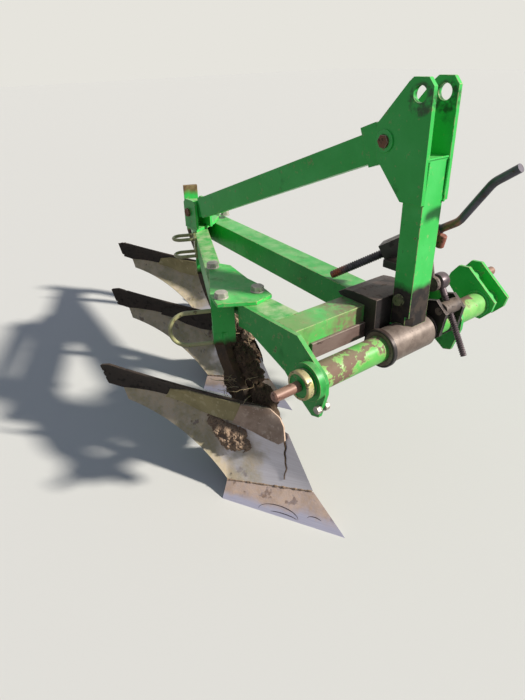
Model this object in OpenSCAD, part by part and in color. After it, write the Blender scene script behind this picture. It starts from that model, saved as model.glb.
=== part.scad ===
// Three-furrow mounted plough with a top mast and a turning cross shaft.
// +X is the way it travels, +Y its left, +Z up. The ground is at z = 0.
// Frame pieces are placed from the cross shaft's axis and the mast's middle plane.
// Each plough body is placed from its share's tip, with y = 0 in the landside's plane.

/* [Hitch] */
// Height of the cross shaft's axis over the ground
axle_h = 470; // [450:5:500]
// Diameter of the two lower link pins
pin_d = 28; // [22:1:36]
// Length of each lower link pin
pin_len = 78; // [60:1:100]
// Distance between the shoulders of the two lower link pins
hitch_span = 840; // [835:1:850]
// Where the right pin's shoulder lies, from the mast's middle plane
right_shoulder = 415; // [410:1:420]
// Diameter of the hole for the top link's pin
top_hole_d = 37; // [25:1:40]
// Height of the top link's hole over the cross shaft's axis
top_hole_h = 630; // [620:5:635]

/* [Cross shaft] */
// Outer diameter of the shaft's tube
tube_d = 74; // [66:1:76]
// Radial clearance where a shaft or pin turns in a hole
fit = 0.05; // [0.02:0.01:0.1]
// Wall of the tube
tube_wall = 10; // [6:1:14]
// Wall of the sleeve under the mast
sleeve_wall = 13; // [11:1:14]
// Length of the sleeve to the right of the mast's middle plane
sleeve_right = 122; // [115:1:130]
// Length of the sleeve to the left of the mast's middle plane
sleeve_left = 62; // [56:1:70]
// How far the left pin's centre lies behind the shaft's axis
crank_back = 60; // [50:1:70]
// How far the left pin's centre lies above the shaft's axis
crank_up = 55; // [45:1:65]
// Width of the left crank over its two plates
crank_w = 82; // [70:1:90]
// Thickness of the lever plates and of the crank's plates
lever_t = 12; // [8:1:14]
// Diameter of the disc behind the right pin
disc_d = 80; // [70:1:88]

/* [Mast] */
// Width of the mast's post, across
post_w = 78; // [70:1:84]
// Depth of the mast's post, along the travel
post_d = 62; // [54:1:70]
// Thickness of each mast plate
mast_plate_t = 13; // [8:1:16]
// Height of the mast plates over the middle of the top hole
mast_over_hole = 35; // [30:1:50]
// Height of the post's top over the cross shaft's axis
post_top = 490; // [470:5:510]

/* [Frame] */
// Height of the beams' top over the cross shaft's axis
beam_top = 100; // [92:1:106]
// Height of every beam
beam_h = 85; // [70:1:92]
// Width of the front, right and long beams
beam_w = 84; // [74:1:90]
// Width of the oblique bar
bar_w = 55; // [50:1:60]
// Wall of the beams
beam_wall = 8; // [5:1:10]
// Angle of the oblique bar to the travel
bar_angle = 26.4; // [25.8:0.1:27]
// Thickness of the plates that carry the shaft
side_plate_t = 13; // [10:1:14]
// Thickness of the bolted joint plates
joint_plate_t = 12; // [8:1:14]

/* [Brace] */
// Width of the brace's tube
brace_w = 60; // [50:1:62]
// Height of the brace's tube
brace_h = 75; // [66:1:80]
// Wall of the brace's tube
brace_wall = 5; // [3:1:8]
// Diameter of the brace's two bolts
brace_bolt_d = 20; // [16:1:24]

/* [Plough bodies] */
// Number of plough bodies
body_count = 3; // [3:1:3]
// Distance from one body to the next along the oblique bar
body_step = 620; // [595:1:640]
// Length of a share's cutting edge
share_edge = 389; // [380:1:395]
// Angle of the cutting edge to the travel
share_heading = 28.4; // [28:0.1:29]
// Slope of a share to the ground
share_slope = 48.5; // [47:0.5:50]
// Thickness of a share
share_t = 11; // [9:1:12]
// Thickness of a mouldboard
board_t = 8; // [6:1:9]
// Thickness of the trash board on a mouldboard
trash_t = 6; // [4:1:8]
// Height of a landside
landside_h = 80; // [70:1:85]
// Length of a landside
landside_len = 400; // [340:5:430]
// Thickness of a leg
leg_t = 28; // [24:1:30]
// Diameter of the bent rod on each leg
loop_rod_d = 13; // [10:1:16]

/* [Adjusting screw] */
// Diameter of the threaded rod
rod_d = 20; // [16:1:22]
// Diameter of the block that the threaded rod passes through
trunnion_d = 42; // [38:1:44]
// Diameter of the crank's screw
screw_d = 26; // [22:1:30]

/* [Hidden] */

$fn = 48;
// Gap between pieces that are bolted face to face over a curved surface
seat = 0.3;
// Colours
green = [0.13, 0.55, 0.22];
worn_steel = [0.42, 0.37, 0.33];
soil_steel = [0.45, 0.38, 0.30];
bright_steel = [0.55, 0.56, 0.62];
dark_steel = [0.20, 0.19, 0.19];
rust = [0.45, 0.25, 0.15];

// Places of the frame, from the shaft's axis and the mast's middle plane
tube_r = tube_d / 2;
bore_r = tube_r + fit;
sleeve_r = tube_r + sleeve_wall;
mast_top = top_hole_h + mast_over_hole;
post_back = -36;
post_front = post_back + post_d;
plate_y = post_w / 2;
right_plate_y = -354;
left_plate_y = 190;
cross_front = -79;
cross_back = cross_front - beam_w;
beam_bottom = beam_top - beam_h;
// Front end of the oblique bar's middle line, behind the first leg
bar_front = [-413, -363];
left_shoulder = hitch_span - right_shoulder;

// Places of the plough bodies
tip = [131, -349];
body_shift = [-body_step * cos(bar_angle), body_step * sin(bar_angle)];
// Middle of each leg's post, from the share's tip
post_at = [bar_front[0] - tip[0], bar_front[1] - tip[1]];

// Rows that bound the whole plough, which put the origin at the middle of its base
wing_top = [-722, -325, 363];
// How far the trash board's rear end reaches past the top of the wing
wing_past = [26.5, 24.9];
// Where the crank's handle ends, and how far its end's rim stands past that
crank_end = [180, 100, 475];
front_reach = crank_end[0] + 6;
rear_reach = tip[0] + (body_count - 1) * body_shift[0] + wing_top[0] - wing_past[0];
right_reach = tip[1] + wing_top[1] - wing_past[1];
left_reach = left_shoulder + pin_len;
// Small rest that centres the real box
shift_x = 0;
shift_y = 0;
middle = [(front_reach + rear_reach) / 2 + shift_x, (right_reach + left_reach) / 2 + shift_y];

module at_hitch() { translate([-middle[0], -middle[1], axle_h]) children(); }
module at_body(i) {
    translate([tip[0] - middle[0] + i * body_shift[0], tip[1] - middle[1] + i * body_shift[1], 0])
        children();
}
// Puts a drawing of x and z into an upright plate from y0 to y1
module upright(y0, y1) { translate([0, y1, 0]) rotate([90, 0, 0]) linear_extrude(y1 - y0) children(); }
// A cylinder along y from y0 to y1
module cross_rod(r, y0, y1, x = 0, z = 0) {
    translate([x, y1, z]) rotate([90, 0, 0]) cylinder(r = r, h = y1 - y0);
}
// A straight rod from point a to point b
function len3(v) = sqrt(v[0] * v[0] + v[1] * v[1] + v[2] * v[2]);
module rod_between(a, b, r) {
    d = b - a;
    translate(a) rotate([0, acos(d[2] / len3(d)), atan2(d[1], d[0])]) cylinder(r = r, h = len3(d));
}
module at_bar() { translate([bar_front[0], bar_front[1], 0]) rotate([0, 0, -bar_angle]) children(); }
// A box beam along x, open at its ends
module box_beam(x0, x1, w, z0, z1, wall) {
    difference() {
        translate([x0, -w / 2, z0]) cube([x1 - x0, w, z1 - z0]);
        translate([x0 - 1, -w / 2 + wall, z0 + wall]) cube([x1 - x0 + 2, w - 2 * wall, z1 - z0 - 2 * wall]);
    }
}

// Mast
module mast_post() {
    color(green) at_hitch() difference() {
        union() {
            translate([post_back, -post_w / 2, 20]) cube([post_d, post_w, post_top - 20]);
        }
        cross_rod(sleeve_r, -post_w, post_w);
        translate([post_front - 14, -post_w / 2 - 1, 0]) rotate([0, 0, 0])
            linear_extrude(height = 74) polygon([[14.1, -1], [14.1, 22], [0, -1]]);
    }
}
function mast_profile() = [
    [-30, mast_top], [12, mast_top], [28, mast_top - 18], [31, post_top - 105], [post_back, post_top - 106],
    [-123, post_top - 11], [-127, top_hole_h - 68], [-42, mast_top - 10]
];
brace_pin = [-99, 522];
top_hole_x = -8;
module mast_plate(side) {
    y0 = side > 0 ? plate_y : -plate_y - mast_plate_t;
    color(green) at_hitch() difference() {
        upright(y0, y0 + mast_plate_t) polygon(mast_profile());
        cross_rod(top_hole_d / 2, y0 - 1, y0 + mast_plate_t + 1, top_hole_x, top_hole_h);
        cross_rod(brace_bolt_d / 2, y0 - 1, y0 + mast_plate_t + 1, brace_pin[0], brace_pin[1]);
    }
}

// Headstock: a dark block that ties the sleeve and the mast's foot to the front and long beams
head_right = -105;
head_left = 62;
cap_h = 28;
function head_profile() = [
    [cross_front, 6], [cross_front, beam_top], [cross_back - 10, beam_top], [cross_back - 20, beam_top + 9],
    [cross_back + 6, beam_top + cap_h - 4], [cross_back + 36, beam_top + cap_h], [post_back, beam_top + cap_h],
    [post_back, 20], [-50, 0]
];
module headstock() {
    color(dark_steel) at_hitch() difference() {
        upright(head_right, head_left) polygon(head_profile());
        cross_rod(sleeve_r, head_right - 1, head_left + 1);
    }
}

// Frame
module cross_beam() {
    color(green) at_hitch() difference() {
        translate([cross_back, right_plate_y, beam_bottom])
            cube([beam_w, left_plate_y - right_plate_y, beam_h]);
        translate([cross_back + beam_wall, right_plate_y - 1, beam_bottom + beam_wall])
            cube([beam_w - 2 * beam_wall, left_plate_y - right_plate_y + 2, beam_h - 2 * beam_wall]);
    }
}
// Brown strip along the lower half of the cross beam's front
strip_t = 10;
strip_right = -306;
module beam_strip() {
    color(worn_steel) at_hitch() translate([cross_front, strip_right, 4])
        cube([strip_t, head_right - strip_right, 47]);
}
// Line of the oblique bar's left face, as x at a given y
function bar_left_x(y) =
    bar_front[0] + bar_w / 2 * sin(bar_angle)
    - (y - bar_front[1] - bar_w / 2 * cos(bar_angle)) / tan(bar_angle);
right_beam_left = right_plate_y + beam_w - 4;
notch_y = -312;
notch_x = -340;
module right_beam() {
    color(green) at_hitch() difference() {
        translate([0, 0, beam_bottom]) linear_extrude(beam_h) polygon([
            [cross_back, right_plate_y], [cross_back, right_beam_left],
            [bar_left_x(right_beam_left), right_beam_left], [bar_left_x(notch_y), notch_y],
            [notch_x, notch_y], [notch_x, right_plate_y]
        ]);
        translate([notch_x - 1, right_plate_y + beam_wall, beam_bottom + beam_wall])
            cube([cross_back - notch_x + 2, beam_w - 4 - 2 * beam_wall, beam_h - 2 * beam_wall]);
    }
}
long_start = -14;
long_drift = 0.096;
function long_y(x, side) = long_start + side * beam_w / 2 + long_drift * (cross_back - x);
// Where a side of the long beam meets the oblique bar
function long_meet(side) =
    (bar_left_x(0) * tan(bar_angle) - long_y(0, side)) / (tan(bar_angle) - long_drift) + seat;
module long_beam() {
    color(green) at_hitch() difference() {
        translate([0, 0, beam_bottom]) linear_extrude(beam_h) polygon([
            [cross_back, long_y(cross_back, -1)], [cross_back, long_y(cross_back, 1)],
            [long_meet(1), long_y(long_meet(1), 1)], [long_meet(-1), long_y(long_meet(-1), -1)]
        ]);
        translate([0, 0, beam_bottom + beam_wall]) linear_extrude(beam_h - 2 * beam_wall) polygon([
            [cross_back + 1, long_y(cross_back + 1, -1) + beam_wall],
            [cross_back + 1, long_y(cross_back + 1, 1) - beam_wall],
            [long_meet(1) - 40, long_y(long_meet(1) - 40, 1) - beam_wall],
            [long_meet(-1) - 40, long_y(long_meet(-1) - 40, -1) + beam_wall]
        ]);
    }
}
module oblique_bar() {
    color(green) at_hitch() at_bar()
        box_beam(-(body_count - 1) * body_step + leg_t, 0, bar_w, beam_bottom, beam_top, beam_wall);
}
// Plate over the joint of the right beam and the oblique bar, in the bar's own frame
module joint_plate() {
    color(green) at_hitch() translate([0, 0, beam_top]) linear_extrude(joint_plate_t) polygon([
        [-331, -430], [-405, -407], [-607, -284], [-598, -241], [-564, -225], [-434, -250],
        [-370, -251], [-286, -269], [-272, -335]
    ]);
}
// Plate over the joint of the long beam and the oblique bar
rear_pin = [-1036, 173];
rear_y = -64;
module rear_plate() {
    color(green) at_hitch() translate([0, 0, beam_top]) linear_extrude(joint_plate_t) polygon([
        [rear_pin[0] + 54, rear_y - 40], [rear_pin[0] + 8, rear_y + 60], [rear_pin[0] - 6, rear_y + 84],
        [rear_pin[0] - 60, rear_y + 140], [rear_pin[0] - 106, rear_y + 170], [rear_pin[0] - 170, rear_y + 172],
        [rear_pin[0] - 150, rear_y + 30], [rear_pin[0] - 60, rear_y - 24]
    ]);
}
function side_profile() = [
    [cross_back - 150, beam_bottom + 30], [cross_back - 150, beam_top], [-60, beam_top], [38, 28],
    [48, 8], [48, -26], [26, -104], [0, -112], [-50, -80], [-110, -28]
];
module side_plate(y0, back) {
    difference() {
        intersection() {
            upright(y0, y0 + side_plate_t) polygon(side_profile());
            translate([back, y0 - 1, -200]) cube([400, side_plate_t + 2, 400]);
        }
        cross_rod(bore_r, y0 - 1, y0 + side_plate_t + 1);
    }
}
hub_t = 20;
module side_plate_right() {
    color(green) at_hitch() {
        side_plate(right_plate_y - side_plate_t, cross_back - 150);
        difference() {
            cross_rod(tube_r + 15, right_plate_y - side_plate_t - hub_t, right_plate_y - side_plate_t);
            cross_rod(bore_r, right_plate_y - side_plate_t - hub_t - 1, right_plate_y - side_plate_t + 1);
        }
    }
}
module side_plate_left() {
    color(green) at_hitch() side_plate(left_plate_y, cross_back);
}
module shaft_sleeve() {
    color(worn_steel) at_hitch() difference() {
        union() {
            cross_rod(sleeve_r, -sleeve_right, sleeve_left);
            cross_rod(sleeve_r + 5, -sleeve_right, -sleeve_right + 14);
        }
        cross_rod(bore_r, -sleeve_right - 1, sleeve_left + 1);
    }
}

// Brace from the mast to the rear of the frame
brace_run = [rear_pin[0] - brace_pin[0], rear_y, rear_pin[1] - brace_pin[1]];
brace_len = len3(brace_run);
brace_yaw = atan2(-brace_run[1], -brace_run[0]);
brace_pitch = asin(brace_run[2] / brace_len);
module at_brace() {
    translate([brace_pin[0], 0, brace_pin[1]]) rotate([0, 0, brace_yaw]) rotate([0, brace_pitch, 0])
        children();
}
tongue_w = 46;
// Shoe around the brace's front end: its wall, how far it stands above and below, and its rear edge
shoe_wall = 4;
shoe_rise = 17;
shoe_drop = 9;
shoe_back = 84;
module brace() {
    color(green) at_hitch() difference() {
        at_brace() union() {
            box_beam(-brace_len + 72, -60, brace_w, -brace_h / 2, brace_h / 2, brace_wall);
            // Solid eye at the mast
            upright(-brace_w / 2 + brace_wall, brace_w / 2 - brace_wall) polygon([
                [-110, -brace_h / 2 + brace_wall], [-110, brace_h / 2 - brace_wall],
                [-20, brace_h / 2 - brace_wall], [16, 20], [16, -20], [-20, -brace_h / 2 + brace_wall]
            ]);
            // Shoe welded over the eye
            upright(-brace_w / 2 - shoe_wall, brace_w / 2 + shoe_wall) polygon([
                [-shoe_back, -brace_h / 2 - shoe_drop], [-shoe_back, brace_h / 2 + shoe_rise],
                [-34, brace_h / 2 + shoe_rise], [6, 24], [6, -24], [-30, -brace_h / 2 - shoe_drop]
            ]);
            // Solid tongue between the rear lugs
            upright(-tongue_w / 2, tongue_w / 2) polygon([
                [-brace_len + 120, -brace_h / 2 + brace_wall], [-brace_len + 120, brace_h / 2 - brace_wall],
                [-brace_len + 16, brace_h / 2 - brace_wall], [-brace_len - 18, 14], [-brace_len - 18, -14],
                [-brace_len + 10, -24], [-brace_len + 60, -brace_h / 2 + brace_wall]
            ]);
        }
        cross_rod(brace_bolt_d / 2, -brace_w, brace_w, brace_pin[0], brace_pin[1]);
        cross_rod(brace_bolt_d / 2, rear_y - brace_w, rear_y + brace_w, rear_pin[0], rear_pin[1]);
    }
}
lug_t = 11;
lug_in = 27;
module brace_bracket() {
    foot = beam_top + joint_plate_t;
    color(green) at_hitch() translate([0, rear_y, 0]) difference() {
        union() {
            for (y = [-lug_in - lug_t, lug_in]) upright(y, y + lug_t) polygon([
                [rear_pin[0] + 52, foot], [rear_pin[0] + 52, rear_pin[1] + 36], [rear_pin[0] + 38, rear_pin[1] + 50],
                [rear_pin[0] - 18, rear_pin[1] + 50], [rear_pin[0] - 34, rear_pin[1] + 36], [rear_pin[0] - 34, foot]
            ]);
            // Web that ties the two lugs behind the brace's end
            translate([rear_pin[0] - 34, -lug_in - 1, foot]) cube([8, 2 * lug_in + 2, rear_pin[1] + 20 - foot]);
        }
        cross_rod(brace_bolt_d / 2, -brace_w, brace_w, rear_pin[0], rear_pin[1]);
    }
}
module bolt_across(x, z, y0, y1) {
    cross_rod(brace_bolt_d / 2, y0, y1, x, z);
    for (y = [y0 - 10, y1]) upright(y, y + 10) translate([x, z]) circle(d = brace_bolt_d * 1.7, $fn = 6);
}
module brace_bolts() {
    color(rust) at_hitch() {
        bolt_across(brace_pin[0], brace_pin[1], -plate_y - mast_plate_t, plate_y + mast_plate_t);
        translate([0, rear_y, 0])
            bolt_across(rear_pin[0], rear_pin[1], -lug_in - lug_t, lug_in + lug_t);
    }
}

// Plough body: the share's own plane, its edge along x and its slope along y
module at_share() { rotate([0, 0, share_heading]) rotate([share_slope, 0, 0]) children(); }
function share_point(p, q) = [
    p * cos(share_heading) - q * cos(share_slope) * sin(share_heading),
    p * sin(share_heading) + q * cos(share_slope) * cos(share_heading),
    q * sin(share_slope)
];
share_outer_w = 57;
share_inner_w = 96;
// Where the share's top edge meets the landside's plane
share_inner_p = -share_inner_w * cos(share_slope) * cos(share_heading) / sin(share_heading);
share_out = share_point(-share_edge, share_outer_w);
share_in = share_point(share_inner_p, share_inner_w);
module share(i) {
    color(bright_steel) at_body(i) intersection() {
        at_share() translate([0, 0, -share_t]) linear_extrude(share_t) polygon([
            [0, 0], [-share_edge, 0], [-share_edge - 1, share_outer_w], [share_inner_p, share_inner_w]
        ]);
        translate([-600, -400, 0]) cube([700, 400, 200]);
    }
}

// Curved surface of the body, from the shin at u = 0 to the wing at u = 1, bottom to top in v
share_u = 0.4;
shin_top = [-297, 0, 278];
top_pull = [-490, -137, 296];
wing_low = [-708, -292, 220];
low_pull = [-535, -178, 169];
back_dir = [-sin(33), cos(33), 0];
function mix(a, b, t) = a + (b - a) * t;
function bow(a, b, c, t) = a * (1 - t) * (1 - t) + b * 2 * t * (1 - t) + c * t * t;
function low_rail(u) = u < share_u
    ? mix(share_in, share_out, u / share_u)
    : bow(share_out, low_pull, wing_low, (u - share_u) / (1 - share_u));
function top_rail(u) = bow(shin_top, top_pull, wing_top, u);
function hollow(u) = bow([12], [74], [6], u)[0];
function board_point(u, v) =
    mix(low_rail(u), top_rail(u), v) + back_dir * (4 * v * (1 - v) * hollow(u));
function unit(v) = v / len3(v);
function board_normal(u, v) = let (
        e = 0.01,
        a = board_point(u + e, v) - board_point(u - e, v),
        b = board_point(u, v + e) - board_point(u, v - e)
    ) unit(cross(a, b));
// Point at depth d behind the face; the landside's plane keeps y at or under zero
function deep_point(u, v, d) = let (p = board_point(u, v) + board_normal(u, v) * d) [p[0], min(p[1], 0), p[2]];
// The rear end leans forwards towards the top of the mouldboard
function slant(u, v) = u;
function steps(a, b, n) = [for (k = [0 : n]) a + (b - a) * k / n];
// A shell between two depths: us are its columns, vs the rows of each column
module board_shell(us, vs, d0, d1) {
    n = len(us);
    m = len(vs[0]);
    face = [for (d = [d0, d1]) for (k = [0 : n - 1]) for (v = vs[k]) deep_point(slant(us[k], v), v, d)];
    function at(s, k, j) = s * n * m + k * m + j;
    quads = concat(
        [for (k = [0 : n - 2]) for (j = [0 : m - 2])
            [at(0, k, j), at(0, k, j + 1), at(0, k + 1, j + 1), at(0, k + 1, j)]],
        [for (k = [0 : n - 2]) for (j = [0 : m - 2])
            [at(1, k, j), at(1, k + 1, j), at(1, k + 1, j + 1), at(1, k, j + 1)]],
        [for (k = [0 : n - 2]) [at(0, k, 0), at(0, k + 1, 0), at(1, k + 1, 0), at(1, k, 0)]],
        [for (k = [0 : n - 2]) [at(0, k, m - 1), at(1, k, m - 1), at(1, k + 1, m - 1), at(0, k + 1, m - 1)]],
        [for (j = [0 : m - 2]) [at(0, 0, j), at(1, 0, j), at(1, 0, j + 1), at(0, 0, j + 1)]],
        [for (j = [0 : m - 2]) [at(0, n - 1, j), at(0, n - 1, j + 1), at(1, n - 1, j + 1), at(1, n - 1, j)]]
    );
    polyhedron(face, [for (q = quads) each [[q[0], q[2], q[1]], [q[0], q[3], q[2]]]]);
}
columns = concat(steps(0, share_u, 6), [for (k = [1 : 9]) share_u + (1 - share_u) * k / 9]);
// Row of the trash board's lower edge, and how far the boards overlap
function trash_low(u) = bow([0.60], [0.77], [0.36], u)[0];
lap = 0.1;
low_gap = 0.012;
low_rows = 7;
function board_row(u, j) = mix(low_gap, trash_low(u), j / low_rows);
module mouldboard(i) {
    color(soil_steel) at_body(i)
        board_shell(columns, [for (u = columns) concat([for (j = [0 : low_rows]) board_row(u, j)],
            [trash_low(u) + lap])], 0, board_t);
}
module trash_board(i) {
    us = concat(columns, [1.06]);
    color(soil_steel) at_body(i)
        board_shell(us, [for (u = us) let (top = u < 0.03 ? 0.9 : u > 1.03 ? 0.9 : 1, low = trash_low(u) + (u > 1.03 ? 0.1 : 0))
            concat([low, low + lap], [for (j = [1 : 3]) mix(low + lap, top, j / 3)])], -seat - trash_t, -seat);
}
// Where the share's underside stands, as x at a given y and z
function under_share(y, z, t) = (-t + y * sin(share_slope) * cos(share_heading) - z * cos(share_slope))
    / (sin(share_slope) * sin(share_heading));
module landside(i) {
    color(worn_steel) at_body(i) upright(-landside_t, 0) polygon([
        [under_share(-landside_t, 0, share_t + seat), 0],
        [under_share(-landside_t, landside_h, share_t + seat), landside_h],
        [-160 - landside_len, landside_h - 14], [-160 - landside_len, 0]
    ]);
}
landside_t = 12;

// Leg with the frog that carries the share, the mouldboard and the landside
leg_low = 410 - 470;
leg_w = 68;
neck = [[-548, 452], [-548, 330], [-442, 300], [-344, 110]];
function cubic(p, t) = p[0] * pow(1 - t, 3) + p[1] * 3 * t * pow(1 - t, 2)
    + p[2] * 3 * t * t * (1 - t) + p[3] * pow(t, 3);
function cubic_side(p, t, w) = let (
        d = (cubic(p, min(t + 0.01, 1)) - cubic(p, max(t - 0.01, 0))),
        l = sqrt(d[0] * d[0] + d[1] * d[1])
    ) cubic(p, t) + [-d[1], d[0]] / l * w;
neck_w = 66;
pad_columns = [for (k = [2 : 7]) columns[k]];
// Height of the last leg's top over the oblique bar
last_over = 62;
module leg(i) {
    top = axle_h + (i == 0 ? beam_top : i == body_count - 1 ? beam_top + last_over : beam_bottom);
    color(green) at_body(i) {
        // Neck that runs forwards and down to the frog
        upright(-34, -landside_t) polygon(concat(
            [for (t = steps(0, 1, 12)) cubic_side(neck, t, neck_w / 2)],
            [for (t = steps(1, 0, 12)) cubic_side(neck, t, -neck_w / 2)]
        ));
        // Post across the end of the oblique bar
        translate([post_at[0], post_at[1], 0]) rotate([0, 0, -bar_angle])
            translate([0, -leg_w / 2, axle_h + leg_low]) cube([leg_t, leg_w, top - axle_h - leg_low]);
        // Frog's upright plate
        upright(-34, -landside_t) polygon([
            [-176, 18], [-232, 48], [-310, 120], [-368, 196], [-410, 190], [-470, 90], [-470, 18]
        ]);
        // Frog's pad behind the mouldboard
        board_shell(pad_columns, [for (u = pad_columns) [for (j = [1 : 5]) board_row(u, j)]],
            board_t + seat, board_t + 22);
        // Frog's pad under the share
        intersection() {
            at_share() translate([-280, 14, -share_t - seat - 20]) cube([230, 62, 20]);
            translate([-500, -300, 6]) cube([500, 300 - landside_t, 200]);
        }
    }
}
// Bent rod out to the right, round and back: upright on the first leg, and two lying flat at the second
loop_out = 74;
loop_r = 54;
flat_r = 30;
module bent_rod(r, reach) {
    for (side = [-1, 1]) translate([0, 0, side * r]) rotate([90, 0, 0]) cylinder(d = loop_rod_d, h = reach);
    translate([0, -reach, 0]) rotate([0, 90, 0]) rotate([0, 0, 180])
        rotate_extrude(angle = 180) translate([r, 0]) circle(d = loop_rod_d);
}
module leg_loop(i) {
    color(green) at_body(i) translate([post_at[0], post_at[1], axle_h]) rotate([0, 0, -bar_angle])
        if (i == 0) {
            translate([leg_t / 2, -leg_w / 2, -2]) bent_rod(loop_r, loop_out);
        } else translate([leg_t / 2, -bar_w / 2, beam_bottom]) {
            translate([-42, -8, 1]) cube([84, 8, beam_h - 2]);
            for (z = [8, beam_h - 9]) translate([0, -7, z]) rotate([0, 90, 0]) bent_rod(flat_r, loop_out - 24);
        }
}

// Crank screw, its nut block on the mast and the arm that hangs from its collar
screw_back = [-281, -35, 113];
screw_front = [-10, 100, 290];
crank_path = [screw_front, [44, 100, 322], [120, 100, 433], crank_end];
screw_dir = unit(screw_front - screw_back);
nut_at = screw_back + screw_dir * 215;
arm_y = [88, 102];
module along_screw() {
    translate(nut_at) rotate([0, acos(screw_dir[2]), atan2(screw_dir[1], screw_dir[0])]) children();
}
module nut_block() {
    color(dark_steel) at_hitch() {
        along_screw() difference() {
            translate([-28, -27, -32]) cube([56, 54, 64]);
            translate([0, 0, -60]) cylinder(d = screw_d, h = 120);
        }
        // Arm to the back of the mast's post, under the screw
        translate([nut_at[0] + 12, -post_w / 2 + 26, nut_at[2] - 38]) cube([post_back - nut_at[0] - 12, 46, 22]);
    }
}
module crank_screw() {
    color(dark_steel) at_hitch() {
        rod_between(screw_back, screw_front, screw_d / 2);
        for (k = [0 : 2]) {
            rod_between(crank_path[k], crank_path[k + 1], screw_d / 2 - 2);
            translate(crank_path[k]) sphere(r = k == 0 ? screw_d / 2 + 2 : screw_d / 2);
        }
    }
}

// Rod through the trunnion, which the levers on the shaft carry
trunnion_x = 35;
trunnion_z = 64;
trunnion_at = [trunnion_x, trunnion_z];
// Greatest turn of the shaft each way, in degrees
turn_limit = 8;
rod_tilt = 30;
eye_up = 80;
rod_down = 150;
rod_y = 128;
lever_y = [82, 162];
eye_at = [trunnion_at[0] - eye_up * sin(rod_tilt), trunnion_at[1] + eye_up * cos(rod_tilt)];
eye_r = 25;
eye_hole_r = 14;
arm_pin_r = 9;
collar_at = screw_back + screw_dir * 316;
module adjuster_arm() {
    color(worn_steel) at_hitch() difference() {
        union() {
            rod_between([eye_at[0], arm_y[0] + 7, eye_at[1]], collar_at, 7.5);
            cross_rod(22, arm_y[0], arm_y[1], eye_at[0], eye_at[1]);
            cross_rod(arm_pin_r, arm_y[1], rod_y + 22, eye_at[0], eye_at[1]);
            rod_between(collar_at - screw_dir * 16, collar_at + screw_dir * 16, screw_d / 2 + 9);
        }
        rod_between(screw_back, screw_front, screw_d / 2);
    }
}
module threaded_rod() {
    color(dark_steel) at_hitch() difference() {
        union() {
            cross_rod(eye_r, rod_y - 18, rod_y + 18, eye_at[0], eye_at[1]);
            rod_between([eye_at[0], rod_y, eye_at[1]] + 20 * [sin(rod_tilt), 0, -cos(rod_tilt)],
                [trunnion_at[0], rod_y, trunnion_at[1]] + rod_down * [sin(rod_tilt), 0, -cos(rod_tilt)], rod_d / 2);
        }
        cross_rod(eye_hole_r, rod_y - 19, rod_y + 19, eye_at[0], eye_at[1]);
    }
}
trunnion_pin_r = 11;
module trunnion() {
    color(worn_steel) at_hitch() difference() {
        union() {
            cross_rod(trunnion_d / 2, lever_y[0] + lever_t + 0.5, lever_y[1] - 0.5, trunnion_at[0], trunnion_at[1]);
            cross_rod(trunnion_pin_r, lever_y[0], lever_y[1] + lever_t, trunnion_at[0], trunnion_at[1]);
        }
        rod_between([eye_at[0], rod_y, eye_at[1]],
            [trunnion_at[0], rod_y, trunnion_at[1]] + rod_down * [sin(rod_tilt), 0, -cos(rod_tilt)], rod_d / 2 + fit);
    }
}

// Turning cross shaft
crank_inner_y = left_shoulder - crank_w;
module shaft_tube() {
    right_end = right_plate_y - side_plate_t - hub_t;
    color(worn_steel) at_hitch() difference() {
        cross_rod(tube_r, right_end, crank_inner_y);
        cross_rod(tube_r - tube_wall, right_end - 1, crank_inner_y + 1);
    }
}
module right_link_pin() {
    right_end = right_plate_y - side_plate_t - hub_t;
    color(rust) at_hitch() {
        cross_rod(tube_r - 2, -right_shoulder + 20, right_end);
        cross_rod(disc_d / 2, -right_shoulder, -right_shoulder + 20);
        cross_rod(pin_d / 2, -right_shoulder - pin_len, -right_shoulder);
    }
}
function crank_profile() = [
    [-crank_back - 26, crank_up + 50], [-crank_back + 10, crank_up + 53], [tube_r + 22, 20], [tube_r + 14, -14],
    [18, -tube_r - 12], [-30, -tube_r - 12], [-crank_back - 62, crank_up - 12], [-crank_back - 52, crank_up + 18]
];
module left_crank() {
    color(green) at_hitch() {
        upright(crank_inner_y, crank_inner_y + lever_t) polygon(crank_profile());
        upright(left_shoulder - lever_t, left_shoulder) polygon(crank_profile());
        cross_rod(pin_d / 2 + 12, crank_inner_y + lever_t, left_shoulder - lever_t);
        cross_rod(pin_d / 2 + 8, crank_inner_y + lever_t, left_shoulder - lever_t, -crank_back, crank_up);
    }
}
module left_link_pin() {
    color(rust) at_hitch()
        cross_rod(pin_d / 2, left_shoulder, left_shoulder + pin_len, -crank_back, crank_up);
}
module lever_plates() {
    color(dark_steel) at_hitch() difference() {
        for (y = lever_y) upright(y, y + lever_t) polygon([
            [-46, -18], [-46, 14], [trunnion_at[0] - 42, trunnion_at[1] + 22], [trunnion_at[0] - 12, trunnion_at[1] + 30],
            [trunnion_at[0] + 26, trunnion_at[1] - 2], [tube_r + 12, -12], [10, -tube_r - 10]
        ]);
        cross_rod(tube_r, 0, 300);
        cross_rod(trunnion_pin_r + fit, 0, 300, trunnion_at[0], trunnion_at[1]);
    }
}

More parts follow.
